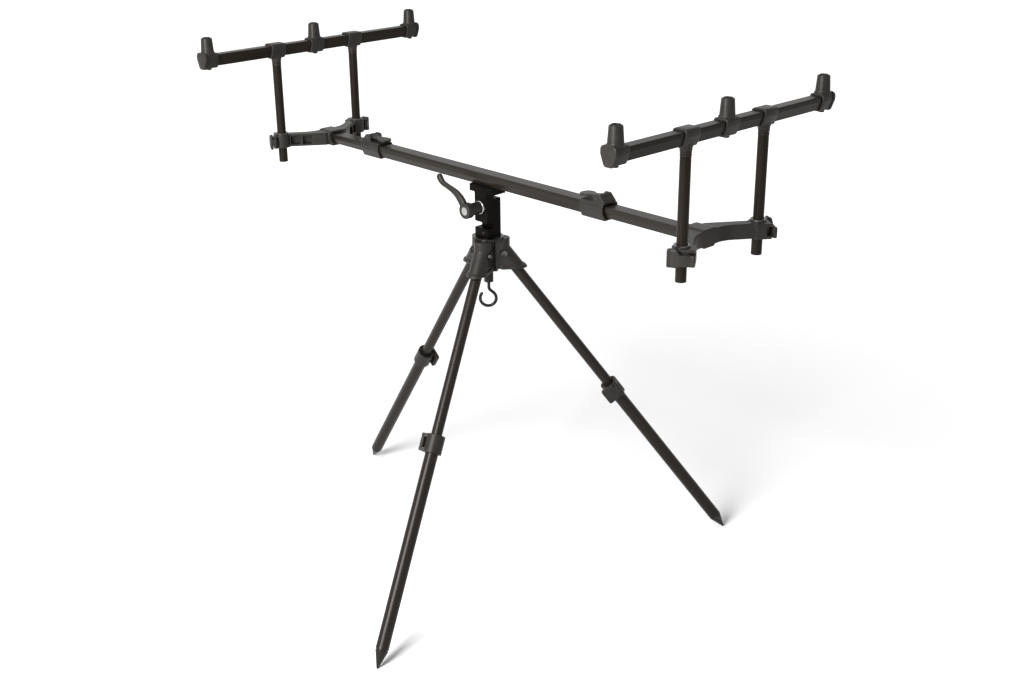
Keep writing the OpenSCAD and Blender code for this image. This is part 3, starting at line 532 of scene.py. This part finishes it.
def tee_skins():
    """A tee clamp: a sleeve round the cross bar that narrows down into a collar on the stem along an S-curve,
    with two turned rings below it."""
    grown = lambda inset: BUZZ(inset - TEE_WALL)
    height = np.concatenate([np.linspace(-12.5, -24.7, 16), [-25.1, -25.3]])
    drop = smooth_step(-height, 14.0, 22.5)
    rim = np.zeros(len(height))
    rim[-2:] = [0.15, 0.4]
    rings = rounded_rings(7.9 - 0.2 * drop - rim, 12.0 - 4.3 * drop - rim, 3.4 - 1.4 * drop)
    parts = [sleeve(grown, half_length=13.0, edge=1.5, bore=BUZZ(-BORE_PLAY)), (carried(rings, height, "z"), False)]
    return parts + [(lathe(STEM_RING + (0.0, middle), 40), True) for middle in STEM_RING_HEIGHTS]


def thumb_lever_skins():
    """A cam lever: a round eye on the hinge pin and a plate that widens into a dished thumb disc.
    Its half width follows the neck, then a circle, and its middle falls slowly towards the tip."""
    middle, radius = 27.0, 11.0
    dish_depth, dish_square = 0.5, 80.0
    disc_run = middle + (radius - 0.05) * np.sin(np.linspace(-0.42, np.pi / 2, 28))
    run = np.concatenate([np.linspace(0.0, 22.0, 22), disc_run])
    neck = 7.2 - 0.8 * smooth_step(run, 4.0, 16.0)
    disc = np.sqrt(np.maximum(radius ** 2 - (run - middle) ** 2, 0.01))
    half_width = np.where(run < middle, np.maximum(neck, np.where(run > middle - radius, disc, 0.0)), disc)
    half_depth = 3.0 - 1.1 * smooth_step(run, 3.0, 12.0) - 0.5 * smooth_step(run, 33.0, 38.0)
    points = carried(rounded_rings(half_width, half_depth, np.full(len(run), 4.6), 64), -run, "x")
    over = points[..., 2] > 0
    away = (run[:, None] - middle) ** 2 + points[..., 1] ** 2
    points[..., 2] -= over * dish_depth * np.maximum(1 - away / dish_square, 0.0)
    points[..., 2] += (run * math.sin(THUMB_SLOPE))[:, None]
    return [points, laid(turned("eye", 40))]


def strap_lever_skins():
    """A stem clamp's lever: a plate that is tall at its hinge and narrows to a strap, with rounded ends.
    Its outer face swells along a parabola, its tip turns out, and a tongue and a barrel reach back to the pin."""
    run = np.concatenate([[-16.7, -16.5, -16.0, -15.2], np.linspace(-14.0, 15.0, 40), [16.3, 17.0, 17.4, 17.5]])
    trim = np.zeros(len(run))
    trim[:4] = [1.3, 0.7, 0.3, 0.05]
    trim[-4:] = [0.05, 0.4, 0.9, 1.4]
    narrow = smooth_step(run, -6.0, 1.0)
    swell = np.maximum(1.0 - ((run - 3.0) / 15.0) ** 2, 0.0)
    half_out = (4.4 + 2.4 * swell) / 2
    rings = rounded_rings(half_out - 0.5 * trim, 11.4 - 4.2 * narrow - trim, np.full(len(run), 6.0))
    rings[..., 0] += (STRAP_FACE + half_out + 1.6 * smooth_step(run, 11.0, 17.5))[:, None]
    rings[..., 1] -= (2.2 * narrow)[:, None]
    plate = carried(rings, run, "x")
    reach = [STRAP_HINGE[1], STRAP_FACE + 2.0]
    tongue = carried(rounded_rings([3.15, 3.15], [5.55, 5.55], [9.0, 9.0], 32), reach, "y")
    tongue[..., 0] += STRAP_HINGE[0]
    return [plate, tongue, turned("barrel", 32) + STRAP_HINGE, lathe(STRAP_PIN, 24) + STRAP_HINGE]


def clamp_lever_skins():
    """The tilt lever: a turned boss, and an arm swept along a path whose heading bends left and then right.
    The arm's two half sizes shrink from the boss to the waist and grow again to the rounded tip."""
    step, tip_length, inside_boss = 0.5, 4.3, 14
    run = np.arange(0.0, 72.4, step)
    bend_left = np.degrees(np.clip(run - 14.0, 0.0, 25.7) / 42.0)
    bend_right = np.degrees(np.clip(run - 57.7, 0.0, 14.8) / 17.0)
    heading = np.radians(128.0 + bend_left - bend_right)
    x = np.cumsum(np.cos(heading)) * step
    z = np.cumsum(np.sin(heading)) * step
    waist = smooth_step(run, 10.0, 50.0)
    swell = smooth_step(run, 54.0, 70.0)
    in_plane = 6.4 - 2.6 * waist + 1.0 * swell
    across = 4.6 - 0.9 * waist + 0.3 * swell
    cap = np.linspace(0.1, np.pi / 2 - 0.05, 8)
    last = heading[-1]
    x = np.concatenate([x, x[-1] + tip_length * np.sin(cap) * math.cos(last)])
    z = np.concatenate([z, z[-1] + tip_length * np.sin(cap) * math.sin(last)])
    heading = np.concatenate([heading, np.full(len(cap), last)])
    in_plane = np.concatenate([in_plane, in_plane[-1] * np.cos(cap)])
    across = np.concatenate([across, across[-1] * np.cos(cap)])
    rings = rounded_rings(in_plane, across, np.full(len(x), 2.4), 32)
    side = rings[..., 0]
    arm = np.stack([x[:, None] - side * np.sin(heading)[:, None], rings[..., 1] - TILT_ARM_OFFSET,
                    z[:, None] + side * np.cos(heading)[:, None]], axis=-1)
    return [arm[inside_boss:], laid(turned("boss", 56))]


def nut_skin(leg):
    """A six-sided nut with bevelled rims, as tall as the CAD nut that it stands for: a profile turned in six steps
    about the leg's pivot, between the lowest and highest point of that nut along the pivot."""
    bore, flat, radius, bevel, search = 3.05, 4.1, 4.6, 0.5, 8
    fold = JOINTS["leg_fold_" + leg]
    middle, axis = np.array(fold["pos_m"]), np.array(fold["axis"])
    mesh = NODES["leg_pivot_nuts"].data
    corners = np.empty(3 * len(mesh.vertices))
    mesh.vertices.foreach_get("co", corners)
    away = corners.reshape(-1, 3) - middle
    along = away @ axis
    own = along[np.linalg.norm(away - along[:, None] * axis, axis=1) < search * MM]
    low, high = own.min() / MM, own.max() / MM
    rim = [(bore, low), (flat, low), (radius, low + bevel), (radius, high - bevel), (flat, high), (bore, high)]
    side = np.cross(axis, (0.0, 0.0, 1.0))
    return skin(middle + lathe(np.array(rim), 6) @ np.stack([side, np.cross(axis, side), axis]) * MM, True)


def spike_profile(reach, wall):
    """Half outline of a ground spike: a rounded shoulder, a turned groove, a cone and a rounded point."""
    shoulder = reach - 28.0
    groove = wall - 0.8
    return filleted_path(
        [(wall - 1.4, shoulder - 0.2), (wall - 0.05, shoulder - 0.2), (wall, shoulder + 2.2),
         (groove, shoulder + 3.0), (groove, shoulder + 3.9), (wall - 0.3, shoulder + 4.6),
         (1.3, reach + 0.6), (0.3, reach + 1.5)],
        [0.3, 0.3, 0.2, 0.2, 0.3, 1.0])


def screw_sleeve(bottom, top):
    """A threaded sleeve: its bore's radius goes up and down with height, and the wave turns once per pitch."""
    pitch, crest, root, outer, lead_in = 1.5875, 4.15, 4.76, 6.05, 1.2
    around, per_turn = 40, 10
    mouth = top - 0.5
    height = np.linspace(mouth, bottom, int((top - bottom) / pitch * per_turn))[:, None]
    turn = np.linspace(0.0, 2 * np.pi, around, endpoint=False)
    phase = (height / pitch - turn / (2 * np.pi)) % 1.0
    radius = crest + (root - crest) * np.abs(2 * phase - 1.0)
    radius = root + (radius - root) * smooth_step(mouth - height, 0.0, lead_in)
    bore = np.stack([radius * np.cos(turn), radius * np.sin(turn), np.broadcast_to(height, radius.shape)], axis=-1)
    rim = filleted_path([(outer, bottom), (outer, top), (root + 0.25, top), (root + 0.02, top - 0.4)], [0.35, 0.1])
    return np.concatenate([lathe(rim, around), bore])


# Settings that a user would change

def colour_setting(name, description, default):
    """A colour, or a tint, as a setting."""
    return bpy.props.FloatVectorProperty(
        name=name, description=description, subtype="COLOR", size=3, min=0.0, max=1.0, default=default)


def share_setting(name, description, default):
    """A number from nought to one as a setting."""
    return bpy.props.FloatProperty(
        name=name, description=description, subtype="FACTOR", min=0.0, max=1.0, default=default)


def angle_setting(name, description, degrees):
    """An angle as a setting."""
    return bpy.props.FloatProperty(name=name, description=description, subtype="ANGLE", default=math.radians(degrees))


class PodFinishSettings(bpy.types.PropertyGroup):
    """Colours and surface of the pod's finishes."""

    tube_colour: colour_setting("Tube colour", "Dye of the anodised tubes", (0.0082, 0.0063, 0.0047))
    tube_roughness: share_setting("Tube roughness", "Gloss of the tubes, from mirror to matt", 0.32)
    tube_metallic: share_setting("Tube metal", "How far the metal shows through the dye", 0.0)
    nylon_colour: colour_setting("Nylon colour", "Colour of the mouldings", (0.0140, 0.0130, 0.0120))
    # The mast colour is the mouldings' own near black, made darker still as painted shade for the bar's shadow over
    # the mast block and bracket. The threaded sleeves and the swivel washer take it as their own black.
    black_and_shade_colour: colour_setting(
        "Mast colour", "Colour of the mast block and the bar's bracket", (0.0020, 0.0018, 0.0016))
    nylon_roughness: share_setting("Nylon roughness", "Gloss of the mouldings", 0.36)
    dark_steel_colour: colour_setting("Coated steel colour", "Colour of the coated steel", (0.0062, 0.0055, 0.0048))
    steel_colour: colour_setting(
        "Plain steel colour", "Colour of the tilt lever's plated screw and washer", (0.36, 0.355, 0.35))
    dull_steel_colour: colour_setting(
        "Dull steel colour", "Colour of the screws and nuts that sit in the mouldings", (0.042, 0.037, 0.033))
    sheen_tint: colour_setting("Sheen tint", "Warm tint of the sheen on the bar and the legs", (1.0, 0.965, 0.93))
    frame_sheen: colour_setting("Frame sheen", "Warm tint of the sheen on the stems and cross bars", (1.0, 0.85, 0.7))
    nylon_sheen: colour_setting("Nylon sheen", "Warm tint of the sheen on the mouldings", (1.0, 0.935, 0.87))
    edge_wear: share_setting("Edge wear", "How much the edges are rubbed", 0.2)


class PodStageSettings(bpy.types.PropertyGroup):
    """Camera, floor and lamps of the studio."""

    lens: bpy.props.FloatProperty(
        name="Lens", description="Focal length on a full-frame sensor", unit="CAMERA", min=10.0, max=200.0,
        default=47.475)
    azimuth: angle_setting("Azimuth", "Turn of the camera round the pod", 46.508)
    elevation: angle_setting("Elevation", "Height of the view as an angle", 21.984)
    roll: angle_setting("Roll", "Lean of the picture", -0.537)
    distance: bpy.props.FloatProperty(
        name="Distance", description="From the pod's axis to the camera", unit="LENGTH", min=0.1, default=1.946842)
    aside: bpy.props.FloatVectorProperty(
        name="Aside", description="How far the camera stands right of and above the pod's axis", unit="LENGTH",
        size=2, default=(0.035988, -0.244833))
    floor_colour: colour_setting("Floor colour", "Colour of the studio floor", (0.93, 0.93, 0.93))
    room_light: bpy.props.FloatProperty(
        name="Room light", description="Strength of the even light all round", min=0.0, max=2.0, default=0.12)
    floor_lift: bpy.props.FloatProperty(
        name="Floor lift", description="Glow of the floor towards the camera, which makes it white", min=0.0,
        max=1.0, default=0.04)
    key_power: bpy.props.FloatProperty(
        name="Key lamp", description="Power of the large lamp over the pod", unit="POWER", min=0.0, default=26.0)
    side_power: bpy.props.FloatProperty(
        name="Side lamp", description="Power of the tall lamp at the left of the view", unit="POWER", min=0.0,
        default=150.0)


# Operators, one for each group of like pieces

class POD_OT_tubes(bpy.types.Operator):
    """Gives the tubes their anodised finish, with the draw lines along each tube"""

    bl_idname = "pod.tubes"
    bl_label = "Tubes"

    def execute(self, context):
        finish = context.scene.pod_finish
        bar = anodised_tube("anodised_bar", (1.0, 0.0, 0.0), finish, finish.sheen_tint)
        for node in ("main_tube", "inner_bar_near", "inner_bar_far"):
            dress(NODES[node], bar)
        cross = anodised_tube("anodised_cross_bar", (0.0, 1.0, 0.0), finish, finish.frame_sheen, gloss=0.095)
        upright = anodised_tube("anodised_stem", (0.0, 0.0, 1.0), finish, finish.frame_sheen, gloss=0.08)
        for end in ENDS:
            dress(NODES["buzz_tube_" + end], cross)
            dress(NODES["stems_" + end], upright)
        for leg in LEGS:
            along = JOINTS["leg_slide_" + leg]["axis"]
            dyed = anodised_tube("anodised_leg_" + leg, along, finish, finish.sheen_tint)
            dress(NODES["upper_leg_" + leg], dyed)
            dress(NODES["lower_leg_" + leg], dyed)
        return {"FINISHED"}


# Mouldings that are rounded: nodes, grid size in metres, and smoothing passes
ROUNDED = (
    (("hub", "head_near", "head_far"), 0.0008, 6),
    (("mast_block", "bar_bracket", "bar_collar_near", "bar_collar_far"), 0.0006, 4),
    (["leg_collar_" + leg for leg in LEGS], 0.0006, 5),
    (["leg_lever_" + leg for leg in LEGS], 0.0005, 6),
)
# Mouldings under the bar that take the mast colour: partly their own black, partly painted shade for the bar's shadow
# on them.
BLACK_AND_SHADED = ("mast_block", "bar_bracket")


class POD_OT_mouldings(bpy.types.Operator):
    """Gives the nylon mouldings their grain and rounds their edges"""

    bl_idname = "pod.mouldings"
    bl_label = "Mouldings"

    def execute(self, context):
        finish = context.scene.pod_finish
        nylon = moulded_nylon("moulded_nylon", finish.nylon_colour, finish)
        # Painted shade: the mast block and bracket get a darker nylon with less sheen, partly their own black and
        # partly the bar's shadow.
        shaded_black_nylon = moulded_nylon("black_and_shaded_nylon", finish.black_and_shade_colour, finish, cells=2200.0, gloss=0.035)
        for row in frame["record"]["subparts"]:
            if row["material_slot"] == "nylon":
                dress(NODES[row["node"]], shaded_black_nylon if row["node"] in BLACK_AND_SHADED else nylon)
        for nodes, grid, passes in ROUNDED:
            for node in nodes:
                soften(NODES[node], grid, passes)
        glossy = coated_steel("glossy_bush", finish.nylon_colour, finish, rough=0.2, gloss=0.45)
        for end in ENDS:
            dress(NODES["stem_bushes_" + end], glossy)
        return {"FINISHED"}


class POD_OT_sockets(bpy.types.Operator):
    """Makes the rod sockets, the tee clamps and the threaded sleeves of both cross bars"""

    bl_idname = "pod.sockets"
    bl_label = "Rod sockets and tees"

    def execute(self, context):
        finish = context.scene.pod_finish
        nylon = bpy.data.materials["moulded_nylon"]
        dark = coated_steel("threaded_steel", finish.black_and_shade_colour, finish, rough=0.4)
        for end in ENDS:
            low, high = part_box("buzz_tube_" + end)
            top = np.array([(low.x + high.x) / 2, HUB_AXIS.y, high.z])
            sockets, sleeves, tees = [], [], []
            for outward in (-1, 0, 1):
                place = top + (0.0, outward * SOCKET_GAP, 0.0)
                sockets += [skin(placed(points, place), looped) for points, looped in socket_skins(outward)]
                sleeves.append(skin(placed(screw_sleeve(THREAD_BOTTOM, THREAD_TOP), place), True))
            for side in (-1, 1):
                place = top + (0.0, side * STEM_GAP / 2, 0.0)
                tees += [skin(placed(points, place), looped) for points, looped in tee_skins()]
            body = "frame_" + end
            piece("socket_mouldings_" + end, sockets, body, nylon, ["rod_sockets_" + end])
            piece("tee_mouldings_" + end, tees, body, nylon, ["tee_clamps_" + end])
            piece("screw_sleeves_" + end, sleeves, body, dark, ["thread_inserts_" + end])
        return {"FINISHED"}


class POD_OT_levers(bpy.types.Operator):
    """Makes the thumb levers on the bar, the strap levers on the stem clamps and the tilt lever on the mast"""

    bl_idname = "pod.levers"
    bl_label = "Levers"

    def execute(self, context):
        nylon = bpy.data.materials["moulded_nylon"]
        mirror = {"near": 1, "far": -1, "right": 1, "left": -1}
        for end in ENDS:
            hinge = JOINTS["bar_lock_" + end]
            flip = (mirror[end], 1, 1)
            skins = [skin(placed(points, hinge["pos_m"], flip)) for points in thumb_lever_skins()]
            piece("thumb_lever_" + end, skins, "bar_lever_" + end, nylon, ["bar_lever_" + end])
        cosine, sine = math.cos(STRAP_SWEEP), math.sin(STRAP_SWEEP)
        turn = np.array([(cosine, -sine, 0.0), (sine, cosine, 0.0), (0.0, 0.0, 1.0)])
        for end in ENDS:
            for side in SIDES:
                name = end + "_" + side
                low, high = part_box("stem_lever_" + name)
                place = (*JOINTS["stem_lock_" + name]["pos_m"][:2], (low.z + high.z) / 2)
                flip = (mirror[end], mirror[side], 1)
                skins = [skin(placed((points - STRAP_HINGE) @ turn, place, flip)) for points in strap_lever_skins()]
                piece("strap_lever_" + name, skins, "stem_lever_" + name, nylon, ["stem_lever_" + name])
        skins = [skin(placed(points, tilt_axle())) for points in clamp_lever_skins()]
        piece("clamp_lever", skins, "tilt_lever", nylon, ["tilt_lever"])
        return {"FINISHED"}


def tilt_axle():
    """The middle of the cross bolt that the bar tilts on, over the hub's axis."""
    return np.array([HUB_AXIS.x, HUB_AXIS.y, JOINTS["tilt_lock"]["pos_m"][2]])


class POD_OT_spikes(bpy.types.Operator):
    """Makes the turned ground spikes"""

    bl_idname = "pod.spikes"
    bl_label = "Ground spikes"

    def execute(self, context):
        dark = bpy.data.materials["coated_steel"]
        points = lathe(spike_profile(LEG_REACH, LEG_RADIUS), 56) * MM
        for leg in LEGS:
            fold, slide = JOINTS["leg_fold_" + leg], JOINTS["leg_slide_" + leg]
            down = np.array(slide["axis"])
            across = np.array(fold["axis"])
            out = np.cross(across, down)
            world = np.array(fold["pos_m"]) + points @ np.stack([out, across, down])
            piece("ground_spike_" + leg, [skin(world)], "foot_" + leg, dark, ["leg_spike_" + leg],
                  TURNED_EDGE)
        return {"FINISHED"}


class POD_OT_fittings(bpy.types.Operator):
    """Gives the screws, bolts and hook their steel finishes, and makes the two washers and the pivot nuts"""

    bl_idname = "pod.fittings"
    bl_label = "Steel fittings"

    def execute(self, context):
        finish = context.scene.pod_finish
        dark = coated_steel("coated_steel", finish.dark_steel_colour, finish)
        bright = plain_steel("plated_steel", finish.steel_colour)
        dull = plain_steel("dull_steel", finish.dull_steel_colour, low=0.45, high=0.6)
        for row in frame["record"]["subparts"]:
            if row["material_slot"] == "dark_steel":
                dress(NODES[row["node"]], dark)
            if row["material_slot"] == "plain_steel":
                dress(NODES[row["node"]], bright if row["node"].startswith("tilt") else dull)
        black = coated_steel("glossy_washer", finish.black_and_shade_colour, finish, rough=0.12, gloss=0.35)
        top = np.array([HUB_AXIS.x, HUB_AXIS.y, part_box("swivel_washer")[1].z])
        skins = [skin(placed(turned("swivel", 72), top), True)]
        piece("turned_washer", skins, "mast", black, ["swivel_washer"], TURNED_EDGE)
        skins = [nut_skin(leg) for leg in LEGS]
        piece("pivot_nuts", skins, "hub", dull, ["leg_pivot_nuts"], TURNED_EDGE)
        skins = [skin(placed(laid(turned("spacer", 56)), tilt_axle()), True)]
        piece("bright_spacer", skins, "tilt_lever", bright, ["tilt_washer"], TURNED_EDGE)
        return {"FINISHED"}


# The studio in metres: each lamp's place, what it looks at, and its size
KEY_LAMP = ((-0.5, -0.8, 2.4), (0.0, 0.0, 0.4), (1.8, 1.8))
SIDE_LAMP = ((0.45, -2.2, 1.5), (-0.1, 0.0, 0.4), (1.2, 1.6))
WHITE = (1.0, 1.0, 1.0, 1.0)
FLOOR_HALF = 14.0
FLOOR_LEVEL = -0.0005
# Distances from the middle between which the floor's glow rises to white
GLOW_RISE = (0.5, 2.4)
SENSOR_WIDTH = 36.0


class POD_OT_stage(bpy.types.Operator):
    """Sets up the pale floor, the soft light and the camera"""

    bl_idname = "pod.stage"
    bl_label = "Studio"

    def execute(self, context):
        scene = context.scene
        stage = scene.pod_stage
        scene.view_settings.view_transform = "Standard"
        floor_sheet(stage)
        room(scene, stage)
        lamp("key_lamp", *KEY_LAMP, stage.key_power)
        lamp("side_lamp", *SIDE_LAMP, stage.side_power)
        scene.camera = camera(stage)
        return {"FINISHED"}


def seen(tree):
    """One for what the camera sees straight, mirrored or through something, and zero for the light's other ways."""
    path = tree.nodes.new("ShaderNodeLightPath")
    either = math_node(tree, "MAXIMUM", path.outputs["Is Camera Ray"], path.outputs["Is Glossy Ray"])
    return math_node(tree, "MAXIMUM", either, path.outputs["Is Transmission Ray"])


def floor_sheet(stage):
    """A square sheet on the ground, as a grid of two by two points."""
    x, y = np.meshgrid([-FLOOR_HALF, FLOOR_HALF], [-FLOOR_HALF, FLOOR_HALF])
    points = np.stack([x.ravel(), y.ravel(), np.full(4, FLOOR_LEVEL)], axis=1)
    mesh = bpy.data.meshes.new("studio_floor")
    mesh.from_pydata(points.tolist(), [], [(0, 1, 3, 2)])
    floor = bpy.data.objects.new("studio_floor", mesh)
    bpy.context.scene.collection.objects.link(floor)
    material, tree, shader = new_tree("floor_paper")
    where = tree.nodes.new("ShaderNodeTexCoord").outputs["Object"]
    cloud = add_node(tree, "ShaderNodeTexNoise", Vector=where, Scale=3.0, Detail=3.0)
    away = vector_node(tree, "LENGTH", where).outputs["Value"]
    glow = ramp(tree, away, *GLOW_RISE, stage.floor_lift, 1.0)
    fill(tree, shader,
         Base_Color=two_tone(tree, spread(tree, cloud.outputs["Fac"]), stage.floor_colour, low=0.99, high=1.0),
         Roughness=0.9, Specular_IOR_Level=0.0, Emission_Color=WHITE,
         Emission_Strength=math_node(tree, "MULTIPLY", seen(tree), glow))
    dress(floor, material)


def room(scene, stage):
    """Even white light all round, seen as pure white by the camera and in reflections."""
    world = bpy.data.worlds.new("studio_room")
    world.use_nodes = True
    tree = world.node_tree
    tree.nodes.clear()
    output = tree.nodes.new("ShaderNodeOutputWorld")
    light = add_node(tree, "ShaderNodeBackground", Color=WHITE,
                     Strength=mix(tree, "FLOAT", seen(tree), stage.room_light, 1.0))
    tree.links.new(light.outputs["Background"], output.inputs["Surface"])
    scene.world = world


def lamp(name, place, aim, size, power):
    """A soft rectangular lamp that looks at a point."""
    data = bpy.data.lights.new(name, "AREA")
    data.shape = "RECTANGLE"
    data.size, data.size_y = size
    data.energy = power
    item = bpy.data.objects.new(name, data)
    item.location = place
    item.rotation_euler = (Vector(aim) - Vector(place)).to_track_quat("-Z", "Y").to_euler()
    bpy.context.scene.collection.objects.link(item)


def camera(stage):
    """The camera at the photograph's angle, placed from the bar's top over the hub."""
    az, el, roll = stage.azimuth, stage.elevation, stage.roll
    level_right = Vector((math.cos(az), math.sin(az), 0.0))
    back = Vector((math.sin(az) * math.cos(el), -math.cos(az) * math.cos(el), math.sin(el)))
    level_up = back.cross(level_right)
    right = math.cos(roll) * level_right + math.sin(roll) * level_up
    up = math.cos(roll) * level_up - math.sin(roll) * level_right
    aim = Vector((HUB_AXIS.x, HUB_AXIS.y, BAR_TOP))
    place = aim + stage.aside[0] * right + stage.aside[1] * up + stage.distance * back
    data = bpy.data.cameras.new("studio_camera")
    data.sensor_fit = "HORIZONTAL"
    data.sensor_width = SENSOR_WIDTH
    data.lens = stage.lens
    item = bpy.data.objects.new("studio_camera", data)
    item.matrix_world = Matrix.Translation(place) @ Matrix((right, up, back)).transposed().to_4x4()
    bpy.context.scene.collection.objects.link(item)
    return item


class POD_PT_panel(bpy.types.Panel):
    """Lists the steps that finish the pod"""

    bl_idname = "POD_PT_panel"
    bl_label = "Rod pod"
    bl_space_type = "VIEW_3D"
    bl_region_type = "UI"
    bl_category = "Rod pod"

    def draw(self, context):
        for settings in (context.scene.pod_finish, context.scene.pod_stage):
            for name in settings.__annotations__:
                self.layout.prop(settings, name)
        for step in STEPS:
            self.layout.operator(step.bl_idname)


STEPS = (POD_OT_tubes, POD_OT_mouldings, POD_OT_fittings, POD_OT_sockets, POD_OT_levers, POD_OT_spikes, POD_OT_stage)
CLASSES = (PodFinishSettings, PodStageSettings, *STEPS, POD_PT_panel)


def register():
    for item in CLASSES:
        bpy.utils.register_class(item)
    bpy.types.Scene.pod_finish = bpy.props.PointerProperty(type=PodFinishSettings)
    bpy.types.Scene.pod_stage = bpy.props.PointerProperty(type=PodStageSettings)


def unregister():
    del bpy.types.Scene.pod_finish
    del bpy.types.Scene.pod_stage
    for item in reversed(CLASSES):
        bpy.utils.unregister_class(item)


def main():
    register()
    bpy.ops.pod.tubes()
    bpy.ops.pod.mouldings()
    bpy.ops.pod.fittings()
    bpy.ops.pod.sockets()
    bpy.ops.pod.levers()
    bpy.ops.pod.spikes()
    bpy.ops.pod.stage()


if __name__ == "__main__":
    main()
